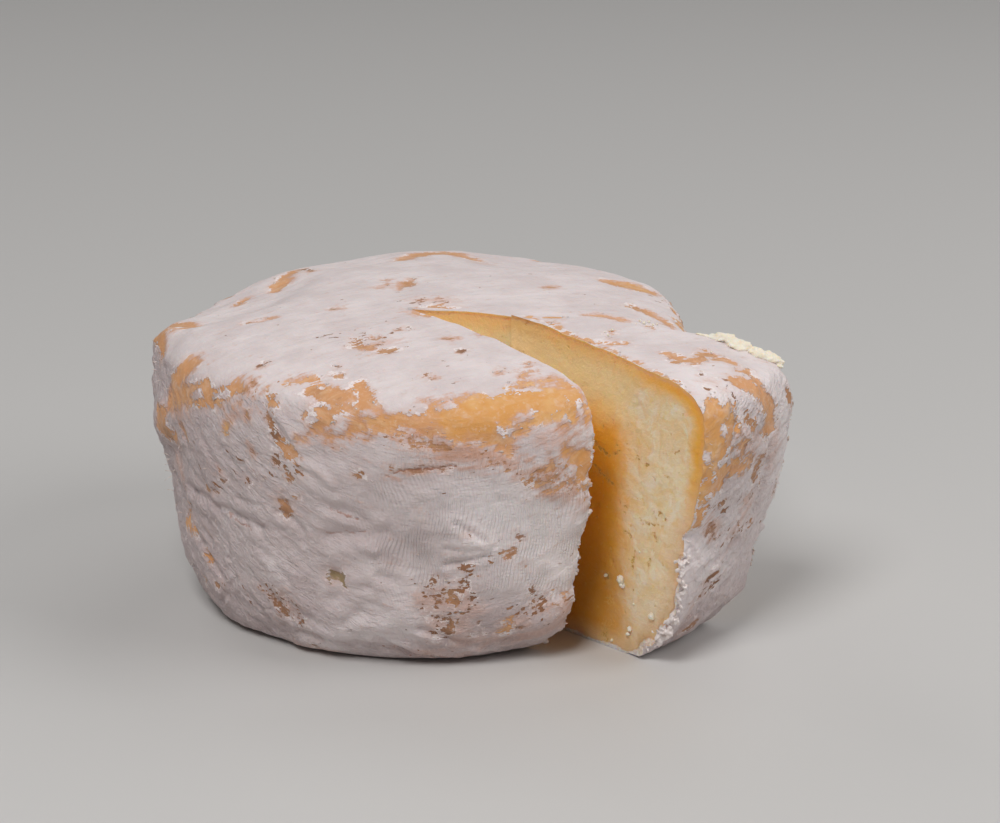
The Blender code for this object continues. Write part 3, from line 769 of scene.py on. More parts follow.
def build_piece(name, wedge, angles, n_top, n_side, n_foot, rings, tip_rows):
    grid, top, low = section_grid(angles, n_top, n_side, n_foot)
    phi, arc, cross = (v.reshape(-1) for v in side_coordinates(grid, wedge))
    grid, top, low = place(grid, wedge), place(top, wedge), place(low, wedge)
    rows, cols = grid.shape[:2]
    N = grid_normals(grid)
    P = grid.reshape(-1, 3)
    Nf = N.reshape(-1, 3)
    h, rough = skin_relief(P, Nf, phi, arc, cross)
    wedge_now[0] = wedge
    fields = skin_fields(P, Nf, phi, arc, cross)
    fields["rough"] = rough
    torn = smooth(.30, .80, fields["bare"])
    h -= 0.24 * torn
    # the knife leaves the skin's edge ragged
    e0 = np.array((math.cos(angles[0]), math.sin(angles[0])))
    e1 = np.array((math.cos(angles[-1]), math.sin(angles[-1])))
    ct, st = (math.cos(TURN), math.sin(TURN)) if wedge else (1.0, 0.0)
    rx, ry = P[:, 0] - top[0], P[:, 1] - top[1]
    rx, ry = ct * rx + st * ry, -st * rx + ct * ry
    d0, d1 = np.abs(rx * e0[1] - ry * e0[0]), np.abs(rx * e1[1] - ry * e1[0])
    edge = np.exp(-(np.minimum(d0, d1) / 0.65) ** 2) * (1 - fields["up"])
    jag = 0.60 * smooth(.0, .5, fbm(P, 2.6, 2, 31)) + 0.30 * fbm(P, 1.1, 1, 32) + 0.75 * smooth(.05, .25, fbm(P, 6, 1, 33))
    h -= edge * jag
    # nothing moves at the foot, and little near the poles
    h = h * smooth(0.0, 2.4, P[:, 2]) + broad(P) * smooth(0.0, 2.2, P[:, 2])
    keep = 1.0
    tip_xy = np.array(top[:2])
    keep = keep * smooth(0.0, 3.0, np.hypot(P[:, 0] - tip_xy[0], P[:, 1] - tip_xy[1]))
    h *= keep
    # outward travel is held in, so that the skin stays in the solids' box
    h = np.where(h > 0, 1.9 * np.tanh(h / 1.9), h)
    D = (Nf * h[:, None]).reshape(rows, cols, 3)
    turn = TURN if wedge else 0.0
    for i, a in ((0, angles[0] + turn), (rows - 1, angles[-1] + turn)):
        t = np.array((-math.sin(a), math.cos(a), 0))
        D[i] -= (D[i] @ t)[:, None] * t
    S = grid + D
    plain_edge = S[(0, -1), :, :].copy()
    # the rind's edge stands a little over the cut, most at the wedge's lower near corner
    lip_skin = np.zeros((rows, cols))
    side_part = 1 - smooth(.45, .9, N[..., 2])
    rise_part = smooth(.2, 2.2, grid[..., 2])
    for i, a, sign, away in ((0, angles[0] + turn, -1, d0), (rows - 1, angles[-1] + turn, 1, d1)):
        away = away.reshape(rows, cols)
        t = np.array((-math.sin(a), math.cos(a), 0)) * sign
        q = grid[i]
        big = smooth(25, 19, q[:, 2]) if (wedge and i == 0) else np.zeros(cols)
        body = 0.12 + 0.34 * smooth(-.2, .5, fbm(q, 3.0, 2, 61)) + big * (0.35 + 0.60 * smooth(-.35, .45, fbm(q, 3.2, 2, 62)))
        body = body * (0.25 + 0.75 * side_part[i]) * rise_part[i]
        lip_skin[i] = big * side_part[i] * rise_part[i]
        near = away < 4.0
        share = np.exp(-(away / (0.35 + 0.65 * big)) ** 2) * near
        crust = np.zeros((rows, cols))
        G_ = grid.reshape(-1, 3)[near.ravel()]
        crust[near] = 0.40 + 0.75 * fbm(G_, 1.9, 2, 63, 0.65) + 0.30 * fbm(G_, 0.8, 1, 65)
        more = 0.62 * big * side_part * rise_part * np.exp(-(away / 1.7) ** 2) * crust
        S += t * (body * share)[..., None] + N * more[..., None]
    S[..., 2] = np.maximum(S[..., 2], 0)
    plain_edge[..., 2] = np.maximum(plain_edge[..., 2], 0)

    verts = [S.reshape(-1, 3)]
    n_skin = rows * cols
    line_z = np.linspace(low[2], top[2], tip_rows + 1)[1:-1]
    line = np.column_stack((np.full(len(line_z), top[0]), np.full(len(line_z), top[1]), line_z))
    i_top, i_low = n_skin, n_skin + 1
    i_line = n_skin + 2
    verts.append(np.array((top, low)))
    verts.append(line)
    count = i_line + len(line)
    faces = []
    idx = np.arange(n_skin).reshape(rows, cols)
    quads = np.stack((idx[:-1, :-1], idx[:-1, 1:], idx[1:, 1:], idx[1:, :-1]), -1).reshape(-1, 4)
    faces += quads.tolist()
    faces += [[i_top, int(a), int(b)] for a, b in zip(idx[:-1, 0], idx[1:, 0])]
    faces += [[i_low, int(b), int(a)] for a, b in zip(idx[:-1, -1], idx[1:, -1])]
    n_rind = len(faces)

    depth = np.full(count, 9.0)            # distance from the skin, for the paste
    depth[:n_skin] = 0
    allv = np.vstack(verts)
    d_line = np.minimum(top[2] - line_z, line_z)
    depth[i_line:i_line + len(line)] = d_line
    depth[i_top] = depth[i_low] = 0
    inner = []
    sharp = set()
    for side, i in ((0, 0), (1, rows - 1)):
        a = (angles[0] if side == 0 else angles[-1]) + turn
        t = np.array((-math.sin(a), math.cos(a), 0)) * (1 if side else -1)
        e = np.array((math.cos(a), math.sin(a), 0))
        ring = [i_top] + idx[i].tolist() + [i_low] + list(range(i_line, i_line + len(line)))
        for p, q in zip(ring, ring[1:] + ring[:1]):
            sharp.add((min(p, q), max(p, q)))
        B = allv[ring]
        B[1:cols + 1] = outer = plain_edge[side]
        reach = np.max((outer - top) @ e)
        mid = top + e * reach * 0.47
        mid = np.array((mid[0], mid[1], top[2] * 0.50))
        shares = (np.linspace(0, 1, rings + 1)[1:-1]) ** 1.12
        new = []
        for s in shares:
            new.append(B + (mid - B) * s)
        new = np.array(new)                # rings x ring x 3
        flat = new.reshape(-1, 3)
        flat = np.vstack((flat, mid))
        # how far in from the skin's outline, in the plane of the cut
        lip_row = lip_skin[i]
        o2 = np.column_stack(((outer - top) @ e, outer[:, 2]))
        o2 = np.vstack(((0.0, top[2]), o2, (0.0, 0.0)))
        f2 = np.column_stack(((flat - top) @ e, flat[:, 2]))
        dist = np.full(len(f2), 1e9)
        lip_full = np.r_[0.0, lip_row, 0.0]
        lip_at = np.zeros(len(f2))
        for k in range(len(o2) - 1):
            ab = o2[k + 1] - o2[k]
            tt = np.clip(((f2 - o2[k]) @ ab) / max(ab @ ab, 1e-12), 0, 1)
            dk = np.hypot(*(f2 - o2[k] - tt[:, None] * ab).T)
            lip_at = np.where(dk < dist, lip_full[k], lip_at)
            dist = np.minimum(dist, dk)
        # soft, curdy relief of the cut
        rise = paste_relief(flat, f2, side, wedge)
        torn_in = 0.75 * lip_at * np.clip(0.9 + 1.5 * fbm(flat, 2.4, 2, 64), 0.1, 2.2)
        rise += lip_at * smooth(torn_in + 0.25, torn_in - 0.35, dist) * (0.55 + 0.85 * fbm(flat, 1.5, 2, 66, 0.6))
        split, blot = np.zeros(len(flat)), np.zeros(len(flat))
        if wedge and side == 0:
            g, _ = crack.field(flat, 0.5, 1.4)
            split = np.clip(g, 0, 1)
            rise -= 0.18 * smooth(.3, .95, split)
            g, _ = stain.field(flat, 2.0, 3.5)
            blot = np.clip(g, 0, 1)
        hold = smooth(0.0, 0.8 - 0.55 * np.clip(lip_at, 0, 1), dist) * smooth(0.0, 1.5, f2[:, 0])
        flat = flat + t * (rise * hold)[:, None]
        base = count
        verts.append(flat)
        # whiter for longer where the rind is torn over the cut, and along the foot
        white_more = torn_in + 0.80 * np.clip(0.5 + 1.4 * fbm(flat, 3.5, 2, 67), 0, 1.3) * smooth(3.0, 0.6, flat[:, 2]) * smooth(2.0, 12.0, f2[:, 0])
        depth = np.r_[depth, np.where(dist < 5, np.maximum(dist - white_more, 0), dist)]
        inner.append((side, split, blot, lip_at))
        m = len(ring)
        ids = [np.array(ring)] + [base + k * m + np.arange(m) for k in range(len(shares))]
        centre = base + len(shares) * m
        count = centre + 1
        for k in range(len(ids) - 1):
            o, n2 = ids[k], ids[k + 1]
            o1, n1 = np.roll(o, -1), np.roll(n2, -1)
            q = np.stack((o, o1, n1, n2), -1)
            if side == 0:
                q = q[:, ::-1]
            faces += q.tolist()
        last = ids[-1]
        for p, q in zip(last, np.roll(last, -1)):
            faces.append([centre, int(p), int(q)] if side == 1 else [centre, int(q), int(p)])
    allv = np.vstack(verts)
    me = bpy.data.meshes.new(name)
    me.from_pydata((allv * MM).tolist(), [], faces)
    me.validate()
    me.update()
    mats = np.zeros(len(me.polygons), dtype=np.int32)
    mats[n_rind:] = 1
    me.polygons.foreach_set("material_index", mats)
    me.polygons.foreach_set("use_smooth", np.ones(len(me.polygons), dtype=bool))
    att = me.attributes.new("sharp_edge", "BOOLEAN", "EDGE")
    ev = np.zeros(len(me.edges) * 2, dtype=np.int64)
    me.edges.foreach_get("vertices", ev)
    ev = np.sort(ev.reshape(-1, 2), axis=1)
    key = ev[:, 0] * 10000000 + ev[:, 1]
    want = np.array([a * 10000000 + b for a, b in sharp])
    att.data.foreach_set("value", np.isin(key, want))

    def put(label, skin_values, rest):
        data = np.full(len(allv), float(rest))
        if skin_values is not None:
            data[:n_skin] = skin_values
        at = me.attributes.new(label, "FLOAT", "POINT")
        at.data.foreach_set("value", data)
    for label, values in fields.items():
        put(label, values, 0.0)
    at = me.attributes.new("depth", "FLOAT", "POINT")
    at.data.foreach_set("value", depth)
    # how far out from the notch's point along the cut, and the splits
    out = np.hypot(allv[:, 0] - top[0], allv[:, 1] - top[1])
    at = me.attributes.new("out", "FLOAT", "POINT")
    at.data.foreach_set("value", out)
    for label, which in (("split", 1), ("stain", 2), ("lip", 3)):
        cut = np.zeros(len(allv))
        cut[len(allv) - sum(len(v[1]) for v in inner):] = np.concatenate([v[which] for v in inner])
        at = me.attributes.new(label, "FLOAT", "POINT")
        at.data.foreach_set("value", cut)
    ob = bpy.data.objects.new(name, me)
    bpy.context.scene.collection.objects.link(ob)
    return ob, S, fields["bare"]


def paste_relief(P, f2, side, wedge):
    """Crumbly curd of a cut face: lumps, pits, drag lines of the knife."""
    h = 0.24 * fbm(P, 16, 2, 21)
    h += 0.17 * fbm(P, 5.0, 3, 22)
    c = fbm(P, 2.4, 2, 23)
    h += 0.10 * np.abs(c) - 0.04
    h += 0.06 * fbm(P, 1.5, 2, 27)
    pits = smooth(.42, .62, fbm(P, 2.1, 2, 24)) * smooth(-.2, .3, fbm(P, 13, 1, 25))
    h -= 0.34 * pits
    drag = fbm(np.column_stack((f2[:, 0] * .22, f2[:, 1], 0 * f2[:, 0])), 2.2, 2, 26)
    h += 0.07 * drag
    return h


def spaced(lo, hi, count, weight):
    """Angles from lo to hi, closer together where weight is high."""
    a = np.linspace(lo, hi, 4000)
    w = np.array([weight(x) for x in a])
    c = np.r_[0, np.cumsum((w[1:] + w[:-1]) / 2)]
    return np.interp(np.linspace(0, c[-1], count), c, a)


wheel_angles = spaced(FAR, NEAR + 2 * math.pi, 452,
                      lambda a: 4.5 if min(a - FAR, NEAR + 2 * math.pi - a) < 0.02 else
                      (1.45 if (math.sin(a) < 0.15) else 1.0))
wheel, wheel_skin, wheel_bare = build_piece("wheel", False, wheel_angles, 44, 118, 7, 40, 70)
wedge_angles = spaced(NEAR, FAR, 150, lambda a: 3.0 if min(a - NEAR, FAR - a) < 0.03 else 1.0)
wedge, wedge_skin, wedge_bare = build_piece("wedge", True, wedge_angles, 60, 150, 12, 62, 90)


# ---------------------------------------------------------------- materials --
class Tree:
    def __init__(self, name):
        self.mat = bpy.data.materials.new(name)
        self.mat.use_nodes = True
        self.t = self.mat.node_tree
        self.p = self.t.nodes.get("Principled BSDF")
        self.obj = self.new("ShaderNodeTexCoord").outputs["Object"]

    def new(self, kind):
        return self.t.nodes.new(kind)

    def link(self, a, b):
        self.t.links.new(a, b)

    def put(self, sock, v):
        if isinstance(v, bpy.types.NodeSocket):
            self.link(v, sock)
        elif isinstance(v, (tuple, list)) and len(v) == 3 and sock.type == "RGBA":
            sock.default_value = (*v, 1.0)
        else:
            sock.default_value = v

    def math(self, op, a, b=None, c=None, clamp=False):
        n = self.new("ShaderNodeMath")
        n.operation = op
        n.use_clamp = clamp
        self.put(n.inputs[0], a)
        if b is not None:
            self.put(n.inputs[1], b)
        if c is not None:
            self.put(n.inputs[2], c)
        return n.outputs[0]

    def attr(self, name):
        n = self.new("ShaderNodeAttribute")
        n.attribute_name = name
        return n.outputs["Fac"]

    def scaled(self, sx, sy, sz, rot=(0, 0, 0)):
        n = self.new("ShaderNodeMapping")
        n.inputs["Scale"].default_value = (sx, sy, sz)
        n.inputs["Rotation"].default_value = rot
        self.link(self.obj, n.inputs["Vector"])
        return n.outputs["Vector"]

    def noise(self, period_mm, detail=2.0, rough=0.5, vec=None, distort=0.0):
        n = self.new("ShaderNodeTexNoise")
        n.inputs["Scale"].default_value = 1000.0 / period_mm
        n.inputs["Detail"].default_value = detail
        n.inputs["Roughness"].default_value = rough
        n.inputs["Distortion"].default_value = distort
        self.link(vec or self.obj, n.inputs["Vector"])
        return n.outputs["Fac"]

    def combine(self, x, y, z=0.0):
        n = self.new("ShaderNodeCombineXYZ")
        for sock, v in zip(n.inputs, (x, y, z)):
            self.put(sock, v)
        return n.outputs[0]

    def dot(self, vec):
        """Object place along a plan or upright direction, in mm."""
        n = self.new("ShaderNodeVectorMath")
        n.operation = "DOT_PRODUCT"
        self.link(self.obj, n.inputs[0])
        n.inputs[1].default_value = tuple(1000.0 * v for v in vec)
        return n.outputs["Value"]

    def creases(self, period_mm, detail=2.0, rough=0.5, distort=0.0):
        """Sharp creases between rounded hills, about 0 to 1."""
        n = self.new("ShaderNodeTexNoise")
        n.noise_type = "RIDGED_MULTIFRACTAL"
        n.inputs["Scale"].default_value = 1000.0 / period_mm
        n.inputs["Detail"].default_value = detail
        n.inputs["Roughness"].default_value = rough
        n.inputs["Distortion"].default_value = distort
        self.link(self.obj, n.inputs["Vector"])
        return n.outputs["Fac"]

    def noise_mm(self, period_mm, vec, detail=2.0, rough=0.5, distort=0.0):
        """Noise on a vector that is already in mm."""
        n = self.new("ShaderNodeTexNoise")
        n.inputs["Scale"].default_value = 1.0 / period_mm
        n.inputs["Detail"].default_value = detail
        n.inputs["Roughness"].default_value = rough
        n.inputs["Distortion"].default_value = distort
        self.link(vec, n.inputs["Vector"])
        return n.outputs["Fac"]

    def blend(self, fac, a, b):
        """Numbers: a where fac is 0, b where it is 1."""
        n = self.new("ShaderNodeMix")
        n.data_type = "FLOAT"
        self.put(n.inputs[0], fac)
        self.put(n.inputs[2], a)
        self.put(n.inputs[3], b)
        return n.outputs[0]

    def away(self, x, gain):
        """A noise made to swing about zero by its gain."""
        return self.math("MULTIPLY_ADD", x, gain, -0.5 * gain)

    def ramp(self, x, lo, hi, to_lo=0.0, to_hi=1.0, smooth_step=True):
        n = self.new("ShaderNodeMapRange")
        n.interpolation_type = "SMOOTHSTEP" if smooth_step else "LINEAR"
        self.put(n.inputs["Value"], x)
        n.inputs["From Min"].default_value = lo
        n.inputs["From Max"].default_value = hi
        n.inputs["To Min"].default_value = to_lo
        n.inputs["To Max"].default_value = to_hi
        return n.outputs["Result"]

    def mix(self, fac, a, b, kind="MIX"):
        n = self.new("ShaderNodeMix")
        n.data_type = "RGBA"
        n.blend_type = kind
        self.put(n.inputs["Factor"], fac)
        self.put(n.inputs["A"], a)
        self.put(n.inputs["B"], b)
        return n.outputs["Result"]

    def bump(self, height, distance_mm, strength=1.0, normal=None):
        n = self.new("ShaderNodeBump")
        n.inputs["Strength"].default_value = strength
        n.inputs["Distance"].default_value = distance_mm * MM
        self.put(n.inputs["Height"], height)
        if normal is not None:
            self.link(normal, n.inputs["Normal"])
        return n.outputs["Normal"]


WHITE_A = (0.80, 0.705, 0.695)
WHITE_B = (0.70, 0.60, 0.59)
THICK_AND_LIT_WHITE = (0.95, 0.865, 0.86)
PINKISH = (0.70, 0.45, 0.37)
TAN = (0.71, 0.350, 0.155)
ORANGE = (0.76, 0.365, 0.105)
BROWN = (0.27, 0.13, 0.07)
RUST = (0.62, 0.255, 0.10)
HAZE = (0.64, 0.355, 0.25)
OLIVE = (0.30, 0.235, 0.125)


# the finest folds on the wheel's side, drawn dark: partly rust-brown in the fold, partly painted shade in it. From, to,
# half width in mm, how dark
folds_drawn = []
_skin = wheel_skin.reshape(-1, 3)
_sa = np.zeros(len(wheel.data.vertices))
wheel.data.attributes["sa"].data.foreach_get("value", _sa)
_sa = _sa[:len(_skin)]


def side_place(u, v):
    o = spot(u, v, W)
    return float(_sa[np.argmin(((_skin - o) ** 2).sum(1))]), float(o[2])


for u0, v0, u1, v1, wide, dark in (
    (385, 475, 402, 470, .20, .80), (402, 470, 432, 469, .24, .85), (432, 469, 456, 467, .20, .85), (330, 509, 356, 520, .26, .6),
    (330, 534, 364, 533, .24, .45), (228, 514, 254, 529, .22, .5), (382, 647, 400, 647, .28, .75), (400, 647, 411, 656, .26, .8),
    (455, 655, 472, 654, .28, .6), (431, 656, 446, 658, .30, .8),
):
    x0, y0 = side_place(u0, v0)
    x1, y1 = side_place(u1, v1)
    folds_drawn.append((x0, y0, x1, y1, wide, dark))


def rind_material():
    m = Tree("bloomy_rind")
    bare_a, tone = m.attr("bare"), m.attr("tone")
    thin_a, speck_a, comb_a, thick_bloom_and_light_a, up = m.attr("thin"), m.attr("speck"), m.attr("comb"), m.attr("thick_bloom_and_light"), m.attr("up")
    rosy_a = m.attr("rosy")
    sa, sb = m.attr("sa"), m.attr("sb")
    c, s_ = math.cos(math.radians(25)), math.sin(math.radians(25))
    ta, tb = m.dot((c, s_, 0)), m.dot((-s_, c, 0))

    def strands(period, stretch, detail=2.0, rough=0.55, seed=0.0):
        k = 1.0 / stretch
        side = m.noise_mm(period, m.combine(m.math("MULTIPLY", sa, k), sb, seed), detail, rough)
        flat = m.noise_mm(period, m.combine(m.math("MULTIPLY", ta, k), tb, seed), detail, rough)
        return m.blend(up, side, flat)

    grey_shade_a, rough_a = m.attr("grey_shade"), m.attr("rough")
    n4, n1 = m.noise(3.4, 4.0, 0.62), m.noise(0.95, 3.0, 0.65)
    coarse, fine = strands(1.5, 3.6, 3.0, 0.6), strands(0.42, 7.0, 2.0, 0.6, 5.0)
    # ragged edge of the torn bloom
    e = m.math("ADD", m.away(n4, 1.5), m.math("MULTIPLY_ADD", speck_a, -0.10, bare_a))
    e = m.math("MULTIPLY_ADD", m.away(coarse, 1.4), m.math("MULTIPLY_ADD", speck_a, 0.95, 0.72), e)
    e = m.math("MULTIPLY_ADD", m.away(n1, 1.5), m.math("MULTIPLY_ADD", speck_a, 1.20, 0.75), e)
    e = m.math("ADD", m.away(fine, 0.9), e)
    # small torn specks in their clusters, and a very few anywhere
    sp = m.math("MULTIPLY_ADD", speck_a, 0.14, strands(1.1, 1.9, 2.0, 0.6, 11.0))
    sp = m.math("ADD", m.away(m.noise(6.0, 1.0, 0.5), 0.16), sp)
    specks = m.ramp(sp, 0.735, 0.760)
    # torn clean in some places, worn through softly in others
    soft = m.ramp(m.noise(7.0, 2.0, 0.5), 0.44, 0.56)
    soft = m.math("MULTIPLY", soft, m.math("MULTIPLY_ADD", m.attr("crisp"), -0.85, 0.85))
    soft = m.math("MAXIMUM", soft, m.math("MULTIPLY", rosy_a, 0.9))
    mask = m.blend(soft, m.ramp(e, 0.46, 0.57), m.ramp(e, 0.40, 0.92))
    mask = m.math("MAXIMUM", mask, specks)
    # colour of the bare skin
    t = m.math("ADD", m.away(m.noise(7.0, 3.0, 0.55), 0.7), tone, clamp=True)
    skin = m.mix(m.ramp(t, 0.08, 0.50), BROWN, TAN)
    skin = m.mix(m.ramp(t, 0.55, 1.0), skin, ORANGE)
    skin = m.mix(m.math("MULTIPLY", m.ramp(m.noise(9.0, 3.0, 0.6), 0.50, 0.64), m.ramp(t, 0.5, 0.9, 0.0, 0.6)), skin, (0.83, 0.50, 0.21))
    skin = m.mix(m.ramp(tone, -0.25, -0.6), skin, OLIVE)
    veins = m.creases(1.5, 2.0, 0.6, 1.0)
    rim = m.math("MULTIPLY", m.ramp(e, 1.15, 0.50), m.math("MULTIPLY_ADD", soft, 0.40, 0.24))
    rim = m.math("MULTIPLY", rim, m.ramp(veins, 0.15, 0.75, 0.55, 1.0))
    skin = m.mix(rim, skin, RUST)
    # a film of bloom left on it, in fine grains
    pale_part = m.ramp(t, 0.15, 0.45)
    grains = m.math("MULTIPLY", m.ramp(n1, 0.54, 0.70), m.math("MULTIPLY", pale_part, 0.36))
    skin = m.mix(grains, skin, (0.84, 0.62, 0.48))
    skin = m.mix(m.math("MULTIPLY", m.ramp(m.noise(2.6, 3.0, 0.62, distort=0.6), 0.52, 0.72), m.math("MULTIPLY", pale_part, 0.42)),
                 skin, (0.83, 0.60, 0.46))
    skin = m.mix(m.math("MULTIPLY", m.ramp(fine, 0.58, 0.74), 0.22), skin, RUST)
    film = m.math("MULTIPLY", m.ramp(coarse, 0.48, 0.72), m.math("MULTIPLY_ADD", pale_part, 0.30, 0.06))
    skin = m.mix(film, skin, (0.84, 0.58, 0.36))
    dark_hole = m.math("MULTIPLY", specks, m.ramp(bare_a, 0.5, 0.2))
    skin = m.mix(m.math("MULTIPLY", dark_hole, 0.6), skin, BROWN)
    # colour of the bloom
    w = m.mix(m.ramp(m.noise(8.0, 3.0, 0.6), 0.3, 0.72), WHITE_A, WHITE_B)
    w = m.mix(m.math("MULTIPLY", m.ramp(coarse, 0.42, 0.70), 0.40), w, WHITE_B)
    # painted shade: the sides' bloom greyed, most on the left and low down, with random greyer patches
    w = m.mix(m.math("MULTIPLY", grey_shade_a, 0.88), w, (0.555, 0.447, 0.442))
    # whitest bloom, partly painted light on shaded parts of the sides
    w = m.mix(m.math("MULTIPLY", thick_bloom_and_light_a, 0.85), w, THICK_AND_LIT_WHITE)
    worn = m.math("ADD", m.away(coarse, 1.6), thin_a)
    worn = m.math("ADD", m.away(n1, 0.9), worn)
    worn = m.math("MULTIPLY", m.ramp(worn, 0.25, 1.15), 0.75)
    edge_pink = m.math("MULTIPLY", m.ramp(e, -0.20, 0.48), 0.26)
    w = m.mix(m.math("MAXIMUM", worn, edge_pink), w, PINKISH)
    through = m.math("MULTIPLY", m.ramp(e, 0.0, 0.60), m.math("MULTIPLY", soft, m.ramp(m.dot((0, 0, 1)), 22.0, 38.0, 0.40, 0.80)))
    w = m.mix(through, w, HAZE)
    w = m.mix(m.math("MULTIPLY", m.ramp(fine, 0.60, 0.78), 0.10), w, PINKISH)
    haze = m.math("ADD", m.math("ADD", m.away(coarse, 2.2), m.away(n1, 1.2)), rosy_a)
    w = m.mix(m.math("MULTIPLY", m.ramp(haze, 0.20, 1.05), 0.85), w, HAZE)
    # painted shade in the wrinkles' creases and painted highlight on the raised grain, both on the rougher sides
    wrinkles = m.creases(2.3, 2.0, 0.6, 0.5)
    wrinkle_shade = m.math("MULTIPLY", m.ramp(wrinkles, 0.45, 1.25), m.math("MULTIPLY", rough_a, 0.40))
    w = m.mix(wrinkle_shade, w, (0.50, 0.385, 0.365))
    w = m.mix(m.math("MULTIPLY", m.ramp(n1, 0.50, 0.66), m.math("MULTIPLY", rough_a, 0.30)), w, (0.90, 0.815, 0.805))
    streaky = m.math("MULTIPLY", m.ramp(coarse, 0.44, 0.64), m.math("MULTIPLY", m.math("MULTIPLY", m.attr("crisp"), rough_a), 0.36))
    w = m.mix(streaky, w, (0.54, 0.43, 0.415))
    # the torn edge itself is thick and white in places, with painted light on its curled rim
    thick_lit_edge = m.math("MULTIPLY", m.math("MULTIPLY", m.ramp(e, 0.12, 0.36), m.ramp(e, 0.56, 0.44)),
                        m.ramp(m.noise(2.6, 2.0, 0.5), 0.46, 0.58))
    thick_lit_edge = m.math("MULTIPLY", thick_lit_edge, m.math("SUBTRACT", 1.0, soft))
    w = m.mix(m.math("MULTIPLY", thick_lit_edge, 0.75), w, THICK_AND_LIT_WHITE)
    colour = m.mix(mask, w, skin)
    m.link(colour, m.p.inputs["Base Color"])
    m.link(m.ramp(mask, 0, 1, 0.85, 0.52), m.p.inputs["Roughness"])
    if folds_drawn:
        wx = m.math("ADD", sa, m.math("ADD", m.away(m.noise(2.6, 2.0, 0.6), 1.9), m.away(n1, 0.25)))
        wy = m.math("ADD", m.dot((0, 0, 1)), m.math("ADD", m.away(m.noise(2.3, 2.0, 0.6, distort=0.5), 1.9), m.away(n1, 0.35)))
        sunk, shade = None, None
        for x0, y0, x1, y1, wide, dark in folds_drawn:
            dx, dy = x1 - x0, y1 - y0
            ll = max(dx * dx + dy * dy, 1e-6)
            t_ = m.math("MULTIPLY_ADD", wx, dx / ll, m.math("MULTIPLY_ADD", wy, dy / ll, -(x0 * dx + y0 * dy) / ll), clamp=True)
            ex = m.math("SUBTRACT", wx, m.math("MULTIPLY_ADD", t_, dx, x0))
            ey = m.math("SUBTRACT", wy, m.math("MULTIPLY_ADD", t_, dy, y0))
            far_ = m.math("SQRT", m.math("MULTIPLY_ADD", ey, ey, m.math("MULTIPLY", ex, ex)))
            line = m.ramp(far_, wide * 2.2, wide * 0.3)
            line = m.math("MULTIPLY", line, 0.25 + 0.75 * dark)
            fold_shade = m.math("MULTIPLY", m.ramp(far_, wide * 1.3, wide * 0.3), dark)
            sunk = line if sunk is None else m.math("MAXIMUM", sunk, line)
            shade = fold_shade if shade is None else m.math("MAXIMUM", shade, fold_shade)
        # the folds' dark colour: rust-brown in the fold and painted shade in it
        shade = m.math("MULTIPLY", shade, m.ramp(m.noise(1.6, 3.0, 0.6), 0.40, 0.54))
        m.link(m.mix(shade, colour, (0.40, 0.165, 0.095)), m.p.inputs["Base Color"])
    # the print of a cloth on the pressed front: two sets of fine ridges
    wob = m.away(m.noise(12.0, 1.0, 0.5), 6.0)
    up_mm = m.dot((0, 0, 1))
    l1 = m.math("SINE", m.math("MULTIPLY", m.math("ADD", m.math("MULTIPLY", sa, 0.96), wob), 2 * math.pi / 0.63))
    l2 = m.math("SINE", m.math("MULTIPLY", m.math("ADD", m.math("MULTIPLY_ADD", sa, 0.22, up_mm), m.math("MULTIPLY", wob, 0.4)), 2 * math.pi / 0.64))
    lines = m.math("MULTIPLY_ADD", l2, m.ramp(sa, 244.0, 256.0, 0.05, 0.20), l1)
    patchy = m.ramp(m.noise(7.0, 2.0, 0.5), 0.38, 0.58, 0.20, 1.0)
    print_a = m.math("MULTIPLY", m.math("MULTIPLY", comb_a, patchy), m.math("SUBTRACT", 1.0, mask))
    # relief in mm: the bloom stands proud of the bare skin, its torn edge curls up a little
    covered = m.math("SUBTRACT", 1.0, mask)
    crumple = m.math("MULTIPLY", rough_a, m.math("MULTIPLY_ADD", mask, -0.75, 1.0))
    relief = m.math("MULTIPLY", m.ramp(e, 0.95, 0.12), 0.075)
    relief = m.math("MULTIPLY_ADD", specks, -0.12, relief)
    relief = m.math("MULTIPLY_ADD", m.math("MULTIPLY", coarse, m.math("MULTIPLY_ADD", comb_a, -0.6, 1.0)),
                    m.math("MULTIPLY_ADD", crumple, 0.22, 0.24), relief)
    relief = m.math("MULTIPLY_ADD", n1, m.math("MULTIPLY_ADD", crumple, 0.40, 0.14), relief)
    relief = m.math("MULTIPLY_ADD", fine, m.math("MULTIPLY_ADD", covered, 0.05, 0.04), relief)
    crisp_more = m.math("MULTIPLY", m.math("MULTIPLY", m.attr("crisp"), crumple), m.ramp(m.attr("crisp"), 0.66, 0.74))
    relief = m.math("MULTIPLY_ADD", m.math("MULTIPLY", crisp_more, n1), 0.34, relief)
    relief = m.math("MULTIPLY_ADD", m.math("MULTIPLY", crisp_more, fine), 0.10, relief)
    relief = m.math("MULTIPLY_ADD", m.math("MULTIPLY", crisp_more, coarse), 0.30, relief)
    folds = m.math("MULTIPLY", wrinkles, m.math("MULTIPLY_ADD", crumple, 1.0, 0.08))
    relief = m.math("MULTIPLY_ADD", folds, -0.10, relief)
    thread = m.noise_mm(2.4, m.combine(m.math("MULTIPLY", sa, 0.30), sb, 7.0), 2.0, 0.5, 0.7)
    thread = m.ramp(m.math("ABSOLUTE", m.away(thread, 2.0)), 0.075, 0.0)
    relief = m.math("MULTIPLY_ADD", m.math("MULTIPLY", thread, crumple), 0.10, relief)
    relief = m.math("MULTIPLY_ADD", m.math("MULTIPLY", lines, print_a), 0.098, relief)
    if folds_drawn:
        relief = m.math("MULTIPLY_ADD", m.math("MULTIPLY", sunk, m.ramp(n4, 0.35, 0.60)), -0.26, relief)
